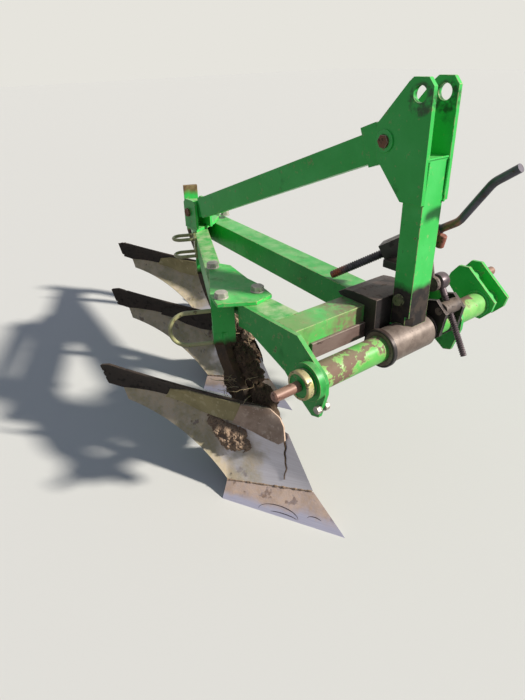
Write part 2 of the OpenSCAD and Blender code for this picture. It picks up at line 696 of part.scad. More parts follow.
mast_post();
mast_plate(-1);  // mast_plate_right
mast_plate(1);  // mast_plate_left
headstock();
cross_beam();
beam_strip();
right_beam();
long_beam();
oblique_bar();
joint_plate();
rear_plate();
side_plate_right();
side_plate_left();
shaft_sleeve();
brace();
brace_bracket();
brace_bolts();
leg(0);  // leg_1
leg(1);  // leg_2
leg(2);  // leg_3
leg_loop(0);  // leg_loop_1
leg_loop(1);  // leg_loop_2
share(0);  // share_1
share(1);  // share_2
share(2);  // share_3
mouldboard(0);  // mouldboard_1
mouldboard(1);  // mouldboard_2
mouldboard(2);  // mouldboard_3
trash_board(0);  // trash_board_1
trash_board(1);  // trash_board_2
trash_board(2);  // trash_board_3
landside(0);  // landside_1
landside(1);  // landside_2
landside(2);  // landside_3
nut_block();
crank_screw();
adjuster_arm();
shaft_tube();
right_link_pin();
left_crank();
left_link_pin();
lever_plates();
threaded_rod();
trunnion();
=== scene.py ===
# %% [markdown]
# # A mounted three-furrow plough, dressed over its measured frame
#
# The solid model already has every part in its right place and size. This script gives it what
# the eye expects of a plough that has worked: enamel rubbed through at the edges, steel scoured
# by soil, threads, weld beads, bolts, and dry earth where earth sticks. Everything is in metres.

import math

import bmesh
import bpy
import numpy as np
from mathutils import Matrix, Vector


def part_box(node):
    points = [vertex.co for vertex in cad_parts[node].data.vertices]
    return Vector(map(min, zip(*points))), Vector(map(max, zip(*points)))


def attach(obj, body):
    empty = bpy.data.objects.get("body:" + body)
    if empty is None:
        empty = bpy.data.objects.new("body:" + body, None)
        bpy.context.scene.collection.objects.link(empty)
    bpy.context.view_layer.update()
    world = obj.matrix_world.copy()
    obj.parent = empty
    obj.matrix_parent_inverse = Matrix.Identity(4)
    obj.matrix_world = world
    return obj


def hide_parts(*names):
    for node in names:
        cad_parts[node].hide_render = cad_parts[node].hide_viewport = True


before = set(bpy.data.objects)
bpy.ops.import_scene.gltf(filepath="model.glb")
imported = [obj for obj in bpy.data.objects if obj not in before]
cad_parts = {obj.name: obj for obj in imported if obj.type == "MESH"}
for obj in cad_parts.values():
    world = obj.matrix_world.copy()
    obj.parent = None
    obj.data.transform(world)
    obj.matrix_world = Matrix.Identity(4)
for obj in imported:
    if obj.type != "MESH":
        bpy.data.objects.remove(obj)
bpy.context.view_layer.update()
MM = 0.001

# %% [markdown]
# ## Where things are
#
# The plough was drawn from the axis of its cross shaft, so a point is easiest to give from there,
# in millimetres, as on a workshop drawing. Each plough body is drawn from the tip of its share.
# Two small functions turn such points into the scene's metres, for a whole array at once.

# %% From the drawing's millimetres to the scene
SHAFT = np.array([771.09, 97.95, 470.0])
TIP = SHAFT * [1, 1, 0] + [131.0, -349.0, 0.0]
BODY_STEP = 620.0
BAR_ANGLE = math.radians(26.4)
STEP_BACK = np.array([-BODY_STEP * math.cos(BAR_ANGLE), BODY_STEP * math.sin(BAR_ANGLE), 0.0])


def at_hitch(points):
    """Points in mm from the cross shaft's axis, moved to the scene's origin and turned to metres."""
    return (np.asarray(points, float) + SHAFT) * MM


def at_body(points, number):
    """Points in mm from a share's tip, moved back along the bar by so many steps, in metres."""
    return (np.asarray(points, float) + TIP + STEP_BACK * (number - 1)) * MM


print("share tips at", [at_body([0, 0, 0], n).round(3).tolist() for n in (1, 2, 3)])

# %% [markdown]
# ## The camera
#
# The photograph was taken standing, from the front right, looking down by about thirty degrees.
# The camera is built from those angles as a matrix, which is exact and needs no tracking object.

# %% Camera
YAW, PITCH, ROLL = math.radians(143.551), math.radians(29.496), math.radians(1.705)
FOCAL_PIXELS, FRAME_HEIGHT, SENSOR = 526.0, 700.0, 36.0
VIEWPOINT = [824, -1129, 721]

ahead = Vector((math.cos(YAW), math.sin(YAW), 0.0))
level = Vector((math.sin(YAW), -math.cos(YAW), 0.0))
up = Vector((0.0, 0.0, 1.0))
view_line = ahead * math.cos(PITCH) - up * math.sin(PITCH)
low = -ahead * math.sin(PITCH) - up * math.cos(PITCH)
rightward = level * math.cos(ROLL) + low * math.sin(ROLL)
downward = -level * math.sin(ROLL) + low * math.cos(ROLL)

camera = bpy.data.objects.new("camera", bpy.data.cameras.new("camera"))
bpy.context.scene.collection.objects.link(camera)
pose = Matrix((rightward, -downward, -view_line)).transposed().to_4x4()
pose.translation = Vector(at_hitch(VIEWPOINT))
camera.matrix_world = pose
camera.data.lens = FOCAL_PIXELS / FRAME_HEIGHT * SENSOR
camera.data.sensor_width = SENSOR
camera.data.sensor_fit = "AUTO"
bpy.context.scene.camera = camera
print("camera at", [round(x, 3) for x in pose.translation], "lens", round(camera.data.lens, 2), "mm")

# %% [markdown]
# ## Two helpers for materials
#
# Colours are easiest to name as the hex values a paint program shows, but Blender computes in
# linear light, so one function converts them. A second adds a node with its settings and its
# inputs in one call, which keeps each material short enough to read at a glance.

# %% Colour and node helpers
# Settings that many nodes share.
RGBA = {"data_type": "RGBA"}
SOFT_STEP = {"interpolation_type": "SMOOTHSTEP"}
TIMES = {"operation": "MULTIPLY"}
TIMES_PLUS = {"operation": "MULTIPLY_ADD"}
MINUS = {"operation": "SUBTRACT"}
LARGER = {"operation": "MAXIMUM"}
# A noise node's scale is this over the size of its blobs in millimetres.
PER_METRE = 1000.0


def linear(hex_colour):
    """An sRGB hex colour as linear RGBA: each channel goes through the sRGB transfer curve."""
    c = np.array([int(hex_colour[i:i + 2], 16) for i in (1, 3, 5)]) / 255.0
    c = np.where(c <= 0.04045, c / 12.92, ((c + 0.055) / 1.055) ** 2.4)
    return (*[float(x) for x in c], 1.0)


def add_node(tree, kind, settings=None, inputs=None):
    """Adds a node. An input is another node's output, a hex colour or a plain value."""
    node = tree.nodes.new(kind)
    for key, value in (settings or {}).items():
        setattr(node, key, value)
    for key, value in (inputs or {}).items():
        if isinstance(value, bpy.types.NodeSocket):
            tree.links.new(value, node.inputs[key])
        else:
            node.inputs[key].default_value = linear(value) if isinstance(value, str) else value
    return node


def new_finish(name):
    """An empty material with a Principled shader, its output, and the coordinates it can read."""
    material = bpy.data.materials.new(name)
    material.use_nodes = True
    tree = material.node_tree
    tree.nodes.clear()
    shader = add_node(tree, "ShaderNodeBsdfPrincipled")
    add_node(tree, "ShaderNodeOutputMaterial", {}, {"Surface": shader.outputs[0]})
    return material, tree, shader, add_node(tree, "ShaderNodeTexCoord").outputs


def set_surface(tree, shader, base, layers, relief, values):
    """Lays each layer's tone over the base by its mask, adds relief, and sets the shader's values.

    Relief is (height, strength, depth in metres), and a value is another node's output or a number.
    """
    colour = base
    for mask, tone in layers:
        colour = add_node(tree, "ShaderNodeMix", RGBA, {0: mask, 6: colour, 7: tone}).outputs[2]
    height, strength, depth = relief
    bump = add_node(tree, "ShaderNodeBump", {}, {"Height": height, "Strength": strength, "Distance": depth})
    values = {"Base Color": colour, "Normal": bump.outputs[0], **values}
    for socket, value in values.items():
        if isinstance(value, bpy.types.NodeSocket):
            tree.links.new(value, shader.inputs[socket])
        else:
            shader.inputs[socket].default_value = value


print("mid grey is", round(linear("#808080")[0], 3))

# %% [markdown]
# ## Masks for wear
#
# Wear is where something happened: noise says where a stone struck, the normal says where dust can
# settle, and the distance to a spot says how far grease, rust or soil got. Object coordinates are
# the scene's metres here, so a size in millimetres turns into a scale, and a place can be typed in.

# %% Masks
MARK_STRENGTH, MARK_FADE = 0.85, 1.25
# A ragged edge: its blobs in millimetres, then its depth and softness in metres.
RAGGED_MM, RAGGED_DEPTH, RAGGED_SOFT = 45.0, 0.05, 0.012


def patches(tree, place, size_mm, low_end, high_end, seed=0.0, stretch=(1, 1, 1), detail=4.0):
    """A soft mask from noise in blobs about size_mm across: 0 under low_end, 1 over high_end."""
    shifted = add_node(tree, "ShaderNodeMapping", {}, {
        "Vector": place, "Location": (seed, seed * 1.7, -seed), "Scale": stretch})
    noise = add_node(tree, "ShaderNodeTexNoise", {}, {
        "Vector": shifted.outputs[0], "Scale": PER_METRE / size_mm, "Detail": detail, "Roughness": 0.6})
    return add_node(tree, "ShaderNodeMapRange", SOFT_STEP, {
        "Value": noise.outputs["Fac"], "From Min": low_end, "From Max": high_end}).outputs[0]


def upward(tree):
    """The Z part of the surface's normal: 1 on a level top, 0 on a wall and -1 underneath."""
    facing = add_node(tree, "ShaderNodeNewGeometry").outputs["Normal"]
    return add_node(tree, "ShaderNodeSeparateXYZ", {}, {0: facing}).outputs["Z"]


def round_mark(tree, place, seed, centre, radius, axes):
    """Broken by noise inside a radius and 0 a quarter past it; axes weigh X, Y and Z in the distance."""
    off = add_node(tree, "ShaderNodeVectorMath", MINUS, {0: place, 1: centre}).outputs[0]
    flat = add_node(tree, "ShaderNodeVectorMath", TIMES, {0: off, 1: axes}).outputs[0]
    reach = add_node(tree, "ShaderNodeVectorMath", {"operation": "LENGTH"}, {0: flat}).outputs["Value"]
    inside = add_node(tree, "ShaderNodeMapRange", SOFT_STEP, {
        "Value": reach, "From Min": radius * MARK_FADE, "From Max": radius}).outputs[0]
    broken = patches(tree, place, 16.0, 0.34, 0.60, seed + 21.0, detail=8.0)
    mark = add_node(tree, "ShaderNodeMath", TIMES, {0: inside, 1: broken}).outputs[0]
    return add_node(tree, "ShaderNodeMath", TIMES, {0: mark, 1: MARK_STRENGTH}).outputs[0]


def end_mark(tree, place, level, way):
    """1 below a level in metres, or above it where way is -1, with an edge that noise makes ragged."""
    height = add_node(tree, "ShaderNodeSeparateXYZ", {}, {0: place}).outputs["Z"]
    ragged = add_node(tree, "ShaderNodeTexNoise", {}, {
        "Vector": place, "Scale": PER_METRE / RAGGED_MM, "Detail": 7.0})
    drop = add_node(tree, "ShaderNodeMath", TIMES_PLUS, {
        0: ragged.outputs["Fac"], 1: -RAGGED_DEPTH, 2: height}).outputs[0]
    middle, reach = level - RAGGED_DEPTH / 2, RAGGED_SOFT * way
    return add_node(tree, "ShaderNodeMapRange", {}, {
        "Value": drop, "From Min": middle + reach, "From Max": middle - reach}).outputs[0]


def zone_mark(tree, place, seed, middle, half_width):
    """Broken, 1 near a place along X in metres and 0 past half_width of it."""
    x = add_node(tree, "ShaderNodeSeparateXYZ", {}, {0: place}).outputs["X"]
    away = add_node(tree, "ShaderNodeMath", MINUS, {0: x, 1: middle}).outputs[0]
    away = add_node(tree, "ShaderNodeMath", {"operation": "ABSOLUTE"}, {0: away}).outputs[0]
    near = add_node(tree, "ShaderNodeMapRange", SOFT_STEP, {
        "Value": away, "From Min": half_width, "From Max": half_width * 0.5}).outputs[0]
    bloom = patches(tree, place, 12.0, 0.25, 0.55, seed + 19.0, detail=8.0)
    return add_node(tree, "ShaderNodeMath", TIMES, {0: near, 1: bloom}).outputs[0]


print("masks ready")

# %% [markdown]
# ## Green enamel over steel
#
# The frame is mild steel, sprayed with a thick oil enamel. Sun and years have faded it, soil has greyed its
# tops with dust, and the pale green on its tops is partly a painted sky sheen; grime sits in blots, and
# stones have chipped it to brown steel. One function makes all its states: it works out a mask for each kind
# of wear, then lays their tones over the green one after the other. Enamel is smooth, so it is glossy where
# it is whole and dull where it is chipped or grimy, and its relief is a fine orange peel with the chips sunk
# into it.

# %% Enamel
# The pale top tone on upward faces is partly dust and partly a painted sky sheen.
GRIME, SPECK, HALO, DUST_AND_SKY_SHEEN, FILM = "#24582c", "#2f4a26", "#a9b878", "#b4cb98", "#9a8a6a"


def enamel(name, seed, base="#34bd50", fresh="#4acb63", chips=0.67, chip_mm=20.0, blots=0.60, dust_and_sheen=0.35,
           bare="#6d5646", top_rub=0.0, right_rub=0.0, soil=0.0, foot=None, head=None, ring=None):
    """Two greens under grime, specks, chips with a pale halo, broken dusting with a painted sky sheen on
    tops, soil and marks.

    A foot or head is (level, dark tone, light tone), and a ring is (centre, radius, axes, tone).
    """
    material, tree, shader, coords = new_finish(name)
    place, rises = coords["Object"], upward(tree)
    fade = patches(tree, place, 160.0, 0.35, 0.70, seed)
    grime = patches(tree, place, 70.0, blots, blots + 0.18, seed + 3.0, detail=8.0)
    grime = add_node(tree, "ShaderNodeMath", TIMES, {0: grime, 1: 0.55}).outputs[0]
    specks = patches(tree, place, 9.0, 0.66, 0.74, seed + 5.0, (1.0, 1.0, 0.5), 6.0)
    specks = add_node(tree, "ShaderNodeMath", TIMES, {0: specks, 1: 0.5}).outputs[0]
    moved = add_node(tree, "ShaderNodeMapping", {}, {"Vector": place, "Location": (seed + 8.0, seed, 3.0)})
    struck = add_node(tree, "ShaderNodeTexNoise", {}, {
        "Vector": moved.outputs[0], "Scale": PER_METRE / chip_mm, "Detail": 9.0, "Roughness": 0.62})
    wear = add_node(tree, "ShaderNodeMath", TIMES_PLUS, {
        0: rises, 1: top_rub, 2: struck.outputs["Fac"]}).outputs[0]
    y = add_node(tree, "ShaderNodeSeparateXYZ", {}, {0: place}).outputs["Y"]
    to_right = add_node(tree, "ShaderNodeMapRange", {}, {
        "Value": y, "From Min": -0.26, "From Max": -0.10, "To Min": right_rub, "To Max": 0.0}).outputs[0]
    wear = add_node(tree, "ShaderNodeMath", {"operation": "ADD"}, {0: wear, 1: to_right}).outputs[0]
    chip = add_node(tree, "ShaderNodeMapRange", SOFT_STEP, {
        "Value": wear, "From Min": chips, "From Max": chips + 0.04}).outputs[0]
    halo = add_node(tree, "ShaderNodeMapRange", SOFT_STEP, {
        "Value": wear, "From Min": chips - 0.07, "From Max": chips, "To Max": 0.45}).outputs[0]
    # Upward faces take that pale tone: dust with a painted sky sheen.
    tops = add_node(tree, "ShaderNodeMapRange", {}, {
        "Value": rises, "From Min": 0.55, "From Max": 0.95, "To Max": dust_and_sheen}).outputs[0]
    speckle = patches(tree, place, 40.0, 0.28, 0.78, seed + 11.0, detail=9.0)
    dust_and_sheen_cover = add_node(tree, "ShaderNodeMath", TIMES, {0: tops, 1: speckle}).outputs[0]
    film = patches(tree, place, 130.0, 0.36, 0.62, seed + 17.0, detail=8.0)
    film = add_node(tree, "ShaderNodeMath", TIMES, {0: film, 1: soil}).outputs[0]
    layers = [(fade, fresh), (grime, GRIME), (specks, SPECK), (halo, HALO), (chip, bare), (dust_and_sheen_cover, DUST_AND_SKY_SHEEN),
              (film, FILM)]
    dull = add_node(tree, "ShaderNodeMath", LARGER, {0: chip, 1: grime}).outputs[0]
    if ring:
        centre, radius, axes, tone = ring
        layers.append((round_mark(tree, place, seed, centre, radius, axes), tone))
    for end, way in ((foot, 1.0), (head, -1.0)):
        if end:
            level, dark, lit = end
            past = end_mark(tree, place, level, way)
            mottle = patches(tree, place, 30.0, 0.40, 0.62, seed + 15.0, detail=8.0)
            tone = add_node(tree, "ShaderNodeMix", RGBA, {0: mottle, 6: dark, 7: lit}).outputs[2]
            layers.append((past, tone))
            dull = add_node(tree, "ShaderNodeMath", LARGER, {0: dull, 1: past}).outputs[0]
    rough = add_node(tree, "ShaderNodeMapRange", {}, {"Value": dull, "To Min": 0.38, "To Max": 0.75})
    peel = add_node(tree, "ShaderNodeTexNoise", {}, {
        "Vector": place, "Scale": PER_METRE / 9.0, "Detail": 3.0})
    sunk = add_node(tree, "ShaderNodeMath", TIMES_PLUS, {0: chip, 1: -1.0, 2: peel.outputs["Fac"]})
    set_surface(tree, shader, base, layers, (sunk.outputs[0], 0.35, 0.0005), {
        "Specular IOR Level": 0.35, "Roughness": rough.outputs[0]})
    return material


print("enamel ready")

# %% [markdown]
# ## The enamels of this plough
#
# The mast is nearly whole over a greasy foot, and the legs are brown with soil up to a line, a soil darkened
# as painted shade. Dust lies thick on the tops of the right beam and the oblique bar, with a painted sky
# sheen in it, and their green, like that of the long beam and the side plates, is darkened as painted shade.
# The shaft's tube is rubbed to the steel, most of all at its right end, and its pale greens are partly a
# painted highlight. Each state is one call of the function above, with its own numbers. Places and levels are
# in metres, and the mark of the top hole lies a little under the hole's middle.

# %% The enamels
# The legs' soil tones are darkened as painted shade; the grease and rust are real.
GREASE, SOIL_DARKENED_AS_SHADE, RUST = ("#1c1819", "#3c322d"), ("#2f241b", "#4d3b2a"), ("#6b5138", "#8d7a55")
MAST_FOOT, LEG_FOOT = 0.632, 0.425
LEG_HEAD = float(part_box("leg_3")[1][2]) - 0.030
HEADSTOCK_RIGHT = tuple(float(x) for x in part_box("headstock")[0])
TOP_HOLE = tuple(float(x) for x in at_hitch([-4, 0, 619]))
enamel_sound = enamel("enamel, sound", 0.0)
enamel_plate = enamel("enamel, sound, rubbed round the top hole", 5.0,
                      ring=(TOP_HOLE, 0.032, (1, 0, 1), "#2b3326"))
enamel_mast = enamel("enamel, sound over a greasy foot", 2.0, foot=(MAST_FOOT, *GREASE))
enamel_leg = enamel("enamel, sound over a soiled leg", 3.0, foot=(LEG_FOOT, *SOIL_DARKENED_AS_SHADE))
enamel_rear_leg = enamel("enamel, rusted at the head", 6.0, foot=(LEG_FOOT, *SOIL_DARKENED_AS_SHADE),
                         head=(LEG_HEAD, *RUST))
enamel_dusted_sheen_blotted = enamel("enamel, dusting and painted sheen, blotted", 4.0, chips=0.655, blots=0.54, dust_and_sheen=0.40)
enamel_soiled = enamel("enamel under soil and dust", 7.0, chips=0.655, blots=0.54, dust_and_sheen=0.35, soil=0.55,
                       ring=(HEADSTOCK_RIGHT, 0.120, (0, 1, 0.9), "#85725f"))
# Its green is darkened as painted shade; its chips and blots are real wear.
enamel_scuffed_shade_dark = enamel("enamel, scuffed, darkened as painted shade", 9.0, base="#27a342", fresh="#39b452", chips=0.655, blots=0.55,
                        dust_and_sheen=0.45)
# A green darkened as painted shade, with a thick pale top tone that is dust and a painted sky sheen.
enamel_shaded_sheen_topped = enamel("enamel, pale with dust on top", 9.0, base="#27a342", fresh="#3ab553", chips=0.655,
                         blots=0.56, dust_and_sheen=1.25)
# The tube's pale greens are partly a painted highlight; its brown patches are real wear.
enamel_rubbed_highlit = enamel("enamel, rubbed to the steel, paled as painted highlight", 13.0, base="#58b54e", fresh="#90c972", chips=0.60,
                       chip_mm=42.0, blots=0.58, dust_and_sheen=0.2, bare="#7d6556", top_rub=0.11, right_rub=0.14)
enamel_pale = enamel("enamel, faded", 17.0, base="#b0ab7c", fresh="#c0b88b", chips=0.58, dust_and_sheen=0.3,
                     bare="#7b6a50")
print("enamels", [m.name for m in bpy.data.materials if m.name.startswith("enamel")])

# %% [markdown]
# ## Bare, oily and rusty steel
#
# Where enamel never was or is long gone there is steel in several states: browned by weather,
# black with old grease, orange with rust, or bright where it rubs. All are one kind of surface,
# two tones broken by a third, so one function makes them from three colours and a roughness.

# %% Steel
def steel(name, seed, tones, spot_mm, metal, rough, stretch=(1, 1, 1), spots=0.55, relief=0.3,
          dust_and_sheen="#9c8672", dust_and_sheen_cover=0.3, rust=()):
    """Two tones in blobs, spots of a third, broken dusting with a painted highlight on tops, pits, and zones
    of rust along X.

    Each zone of rust is (middle, half width, tone).
    """
    material, tree, shader, coords = new_finish(name)
    place = coords["Object"]
    blobs = patches(tree, place, spot_mm * 3.0, 0.35, 0.65, seed, stretch, 6.0)
    spot = patches(tree, place, spot_mm, spots, spots + 0.08, seed + 6.0, stretch, 9.0)
    # Upward faces take the top tone: dust, and partly a painted highlight.
    tops = add_node(tree, "ShaderNodeMapRange", {}, {
        "Value": upward(tree), "From Min": 0.4, "From Max": 0.95, "To Max": dust_and_sheen_cover * 1.3}).outputs[0]
    broken = patches(tree, place, 60.0, 0.30, 0.66, seed + 14.0, detail=9.0)
    settled_dust_and_sheen = add_node(tree, "ShaderNodeMath", TIMES, {0: tops, 1: broken}).outputs[0]
    layers = [(blobs, tones[1]), (spot, tones[2]), (settled_dust_and_sheen, dust_and_sheen)]
    layers += [(zone_mark(tree, place, seed, middle, half_width), tone) for middle, half_width, tone in rust]
    sheen = add_node(tree, "ShaderNodeMapRange", {}, {
        "Value": spot, "To Min": rough, "To Max": min(1.0, rough + 0.25)})
    pits = add_node(tree, "ShaderNodeTexNoise", {}, {
        "Vector": place, "Scale": PER_METRE / 3.0, "Detail": 6.0})
    set_surface(tree, shader, tones[0], layers, (pits.outputs["Fac"], relief, 0.0006), {
        "Metallic": metal, "Roughness": sheen.outputs[0]})
    return material


print("steel ready")

# %% [markdown]
# ## The steels of this plough
#
# Three tones, the size of the spots, how metallic it is and how rough: these set a headstock black with
# grease apart from a brown sleeve, a zinc-grey bolt and a collar rusted red. The finishes of the trash boards
# come from the same function: soil on steel, and a near-black that is painted shade on the boards' rear
# parts, which face away from the sun.

# %% The steels
# The pale top tones of the browned and sleeve steels are partly a painted highlight.
steel_browned = steel("mild steel, browned", 1.0, ("#84746c", "#a3938a", "#57473f"), 22.0, 0.35, 0.42,
                      spots=0.60, dust_and_sheen="#cbb9ae", dust_and_sheen_cover=0.45)
steel_strip = steel("flat bar, browned", 2.0, ("#6c5650", "#85706a", "#47362f"), 18.0, 0.2, 0.55,
                    (0.4, 0.4, 1), dust_and_sheen="#94857a", dust_and_sheen_cover=0.6)
steel_greasy = steel("steel under old grease", 3.0, ("#1c1a1b", "#2b2526", "#0f0e0f"), 18.0, 0.2, 0.42,
                     dust_and_sheen="#6e5850", dust_and_sheen_cover=0.45)
steel_forged = steel("forged steel, dark", 5.0, ("#40363b", "#5d5055", "#6e4536"), 20.0, 0.45, 0.40,
                     spots=0.62, dust_and_sheen="#97888a", dust_and_sheen_cover=0.4)
steel_sleeve = steel("sleeve steel, browned and greasy", 4.0, ("#65574f", "#7f7168", "#5c4f48"), 9.0, 0.25,
                     0.46, spots=0.60, relief=0.5, dust_and_sheen="#9c8c84", dust_and_sheen_cover=0.5)
steel_grimy = steel("forged steel under grime", 6.0, ("#4b4240", "#6f625b", "#2c2523"), 12.0, 0.2, 0.6,
                    relief=0.8)
steel_crank = steel("forged steel, rusty at the free end", 9.0, ("#35323a", "#56525e", "#4d3c3a"), 16.0,
                    0.4, 0.42, spots=0.60, relief=0.5, dust_and_sheen="#8f8087",
                    rust=((0.490, 0.050, "#93503a"), (0.800, 0.030, "#9a6457")))
steel_collar = steel("collar, rusted red", 15.0, ("#7b4539", "#94584a", "#4c2c25"), 9.0, 0.1, 0.7, relief=0.6)
steel_rusty = steel("rusted steel", 7.0, ("#6e4a38", "#845642", "#42302a"), 7.0, 0.1, 0.72, relief=0.6)
steel_pin = steel("pin steel, rubbed and rusty", 8.0, ("#7d5a4d", "#9a7466", "#54382e"), 12.0, 0.15, 0.5,
                  (1.0, 0.3, 1.0))
steel_bolt = steel("zinc plate, weathered", 10.0, ("#9d978f", "#b7b0a6", "#7d583f"), 9.0, 0.3, 0.5,
                   spots=0.60, dust_and_sheen="#d4cdc2", dust_and_sheen_cover=0.5)
# The pale tones of a rubbed edge are real wear and partly a painted highlight.
steel_edge_worn_highlit = steel("edge rubbed through the enamel, paled as painted highlight", 12.0, ("#6fae5a", "#a7a578", "#35a046"), 15.0, 0.1, 0.5,
                   spots=0.50, dust_and_sheen="#c3c28f", dust_and_sheen_cover=0.4)
steel_bolt_painted = steel("bolt head, painted and greasy", 19.0, ("#59663f", "#7b7c5d", "#2d3424"), 9.0,
                           0.1, 0.55)
steel_rim = steel("disc rim, rubbed to primer", 16.0, ("#a89a5c", "#c2b78c", "#4f4a33"), 12.0, 0.25, 0.45)
landside_finish = steel("landside steel, soiled", 12.0, ("#6f5d4c", "#8a7259", "#4a3a2d"), 30.0, 0.15, 0.6)
# This near-black is painted shade on the trash boards' rear parts.
trash_black_painted_shade = steel("trash board, black as painted shade", 18.0, ("#231d1b", "#332a26", "#15110f"), 16.0, 0.0, 0.85,
                    relief=0.9, dust_and_sheen="#54463b", dust_and_sheen_cover=0.5)
trash_olive = steel("trash board, olive film", 20.0, ("#bdae80", "#a3966c", "#cfc196"), 24.0, 0.0, 0.75,
                    relief=0.7, dust_and_sheen="#b8ac86")
trash_front = steel("trash board, soiled pinkish", 22.0, ("#c7ac98", "#a78c79", "#d8c0ac"), 14.0, 0.0, 0.75,
                    relief=0.8, dust_and_sheen="#c9b4a2")
print("steels", [m.name for m in bpy.data.materials if "steel" in m.name])

# %% [markdown]
# ## Scoured steel
#
# A mouldboard is polished by the furrow slice that slides over it. Where the soil presses it is
# bright and bluish, with fine scratches along the way the soil goes, and where it only brushes
# past, a dry tan film stays. The film's place follows the surface, so the mask reads the piece's
# own UV map: U runs from the front edge to the tail, V from the bottom to the top.

# %% Scoured boards
# Streaks along the sheet; across it they are nine times finer.
STREAKS = 4.0


def scoured(name, seed, film_from, film_to, axis="X", tones=("#c4bfc6", "#d6d2da"),
            film=("#d2bf9f", "#b3a680"), damp="#86735c", rough=0.38):
    """Scratched steel under a film of soil, which lies where noise plus one UV axis passes a limit."""
    material, tree, shader, coords = new_finish(name)
    place, sheet = coords["Object"], coords["UV"]
    streaks = patches(tree, sheet, PER_METRE / STREAKS, 0.25, 0.80, seed, (1.0, 9.0, 1.0), 6.0)
    moved = add_node(tree, "ShaderNodeMapping", {}, {"Vector": place, "Location": (seed, 0, 0)})
    wander = add_node(tree, "ShaderNodeTexNoise", {}, {
        "Vector": moved.outputs[0], "Scale": PER_METRE / 110.0, "Detail": 8.0,
        "Roughness": 0.62}).outputs["Fac"]
    along = add_node(tree, "ShaderNodeSeparateXYZ", {}, {0: sheet}).outputs[axis]
    edge = add_node(tree, "ShaderNodeMath", TIMES_PLUS, {0: wander, 1: 1.1, 2: along}).outputs[0]
    covered = add_node(tree, "ShaderNodeMapRange", SOFT_STEP, {
        "Value": edge, "From Min": film_from + 0.55, "From Max": film_to + 0.55}).outputs[0]
    blots = patches(tree, place, 60.0, 0.40, 0.62, seed + 4.0, detail=9.0)
    wet = patches(tree, place, 38.0, 0.60, 0.66, seed + 6.0, detail=9.0)
    film_tone = film[0]
    for mask, tone in ((blots, film[1]), (wet, damp)):
        film_tone = add_node(tree, "ShaderNodeMix", RGBA, {0: mask, 6: film_tone, 7: tone}).outputs[2]
    thin = patches(tree, place, 12.0, 0.25, 0.7, seed + 9.0, detail=8.0)
    hidden = add_node(tree, "ShaderNodeMapRange", {}, {
        "Value": thin, "To Min": 0.70, "To Max": 0.98}).outputs[0]
    mask = add_node(tree, "ShaderNodeMath", TIMES, {0: covered, 1: hidden}).outputs[0]
    values = {}
    for socket, clean, soiled in (("Metallic", 0.35, 0.0), ("Roughness", rough, 0.85)):
        values[socket] = add_node(tree, "ShaderNodeMapRange", {}, {
            "Value": mask, "To Min": clean, "To Max": soiled}).outputs[0]
    crust = add_node(tree, "ShaderNodeTexNoise", {}, {
        "Vector": place, "Scale": PER_METRE / 5.0, "Detail": 8.0})
    raised = add_node(tree, "ShaderNodeMath", TIMES, {0: crust.outputs["Fac"], 1: mask}).outputs[0]
    layers = [(streaks, tones[1]), (mask, film_tone)]
    set_surface(tree, shader, tones[0], layers, (raised, 0.6, 0.0012), values)
    return material


print("scoured steel ready")

# %% [markdown]
# ## Earth and roots
#
# Dry clay has no gloss and no colour of its own but its crumbs: lighter where they stand out, dark
# in the cracks between them. Roots and straw take the same function in the tones of old straw.

# %% Earth
def earth(name, seed, tones=("#957d69", "#a58d77", "#705b49")):
    """Dry clay: three browns in crumbs of a few millimetres, with deep relief."""
    material, tree, shader, coords = new_finish(name)
    place = coords["Object"]
    crumbs = patches(tree, place, 14.0, 0.35, 0.65, seed, detail=9.0)
    cracks = patches(tree, place, 8.0, 0.56, 0.66, seed + 2.0, detail=9.0)
    grain = add_node(tree, "ShaderNodeTexNoise", {}, {
        "Vector": place, "Scale": PER_METRE / 5.0, "Detail": 9.0})
    layers = [(crumbs, tones[1]), (cracks, tones[2])]
    set_surface(tree, shader, tones[0], layers, (grain.outputs["Fac"], 0.8, 0.002), {"Roughness": 0.95})
    return material


board_finish = scoured("mouldboard steel, scoured and filmed", 1.0, 0.14, 0.46)
share_finish = scoured("share steel, scoured and filmed", 5.0, 0.17, 0.52, "Y", film=("#e2c4ad", "#cdb09a"),
                       tones=("#b5b2ca", "#cbc9da"), damp="#a08470")
clay = earth("clay, dry", 2.0)
# Clay darkened as painted shade, for the soil on the first leg and the second board's cake, and for a dark
# root.
clay_dark_painted_shade = earth("clay, dark as painted shade", 6.0, ("#433429", "#604c3a", "#211913"))
straw = earth("roots and straw, dry", 8.0, ("#b39a76", "#c9b692", "#7d6849"))
print("materials so far", len(bpy.data.materials))

# %% [markdown]
# ## Turning number grids into pieces
#
# Every new shape is a grid of points worked out in one go. A grid becomes faces by joining each
# point to its neighbours, a closed profile wraps round, and a pole is a row whose points all
# meet. Merging doubled points then closes seams and poles, and the normals are turned outwards.

# %% Faces and pieces
DOUBLED = 2e-6


def grid_faces(rows, cols, wrap_cols=False):
    """Quads that join each point of a grid to its right and lower neighbours."""
    i, j = np.meshgrid(np.arange(rows - 1), np.arange(cols if wrap_cols else cols - 1), indexing="ij")
    k = (j + 1) % cols
    return np.stack([i * cols + j, (i + 1) * cols + j, (i + 1) * cols + k, i * cols + k], -1).reshape(-1, 4)


def gather(parts):
    """Joins (points, faces) pairs into one pair, moving each one's face numbers on."""
    points, faces, count = [], [], 0
    for p, f in parts:
        points.append(np.asarray(p, float).reshape(-1, 3))
        faces.append(np.asarray(f) + count)
        count += len(points[-1])
    return np.concatenate(points), np.concatenate(faces)


def placed(parts, number=0):
    """Parts in mm as one part in metres, from the shaft's axis or from a numbered body's tip."""
    points, faces = gather(parts)
    return (at_body(points, number) if number else at_hitch(points)), faces


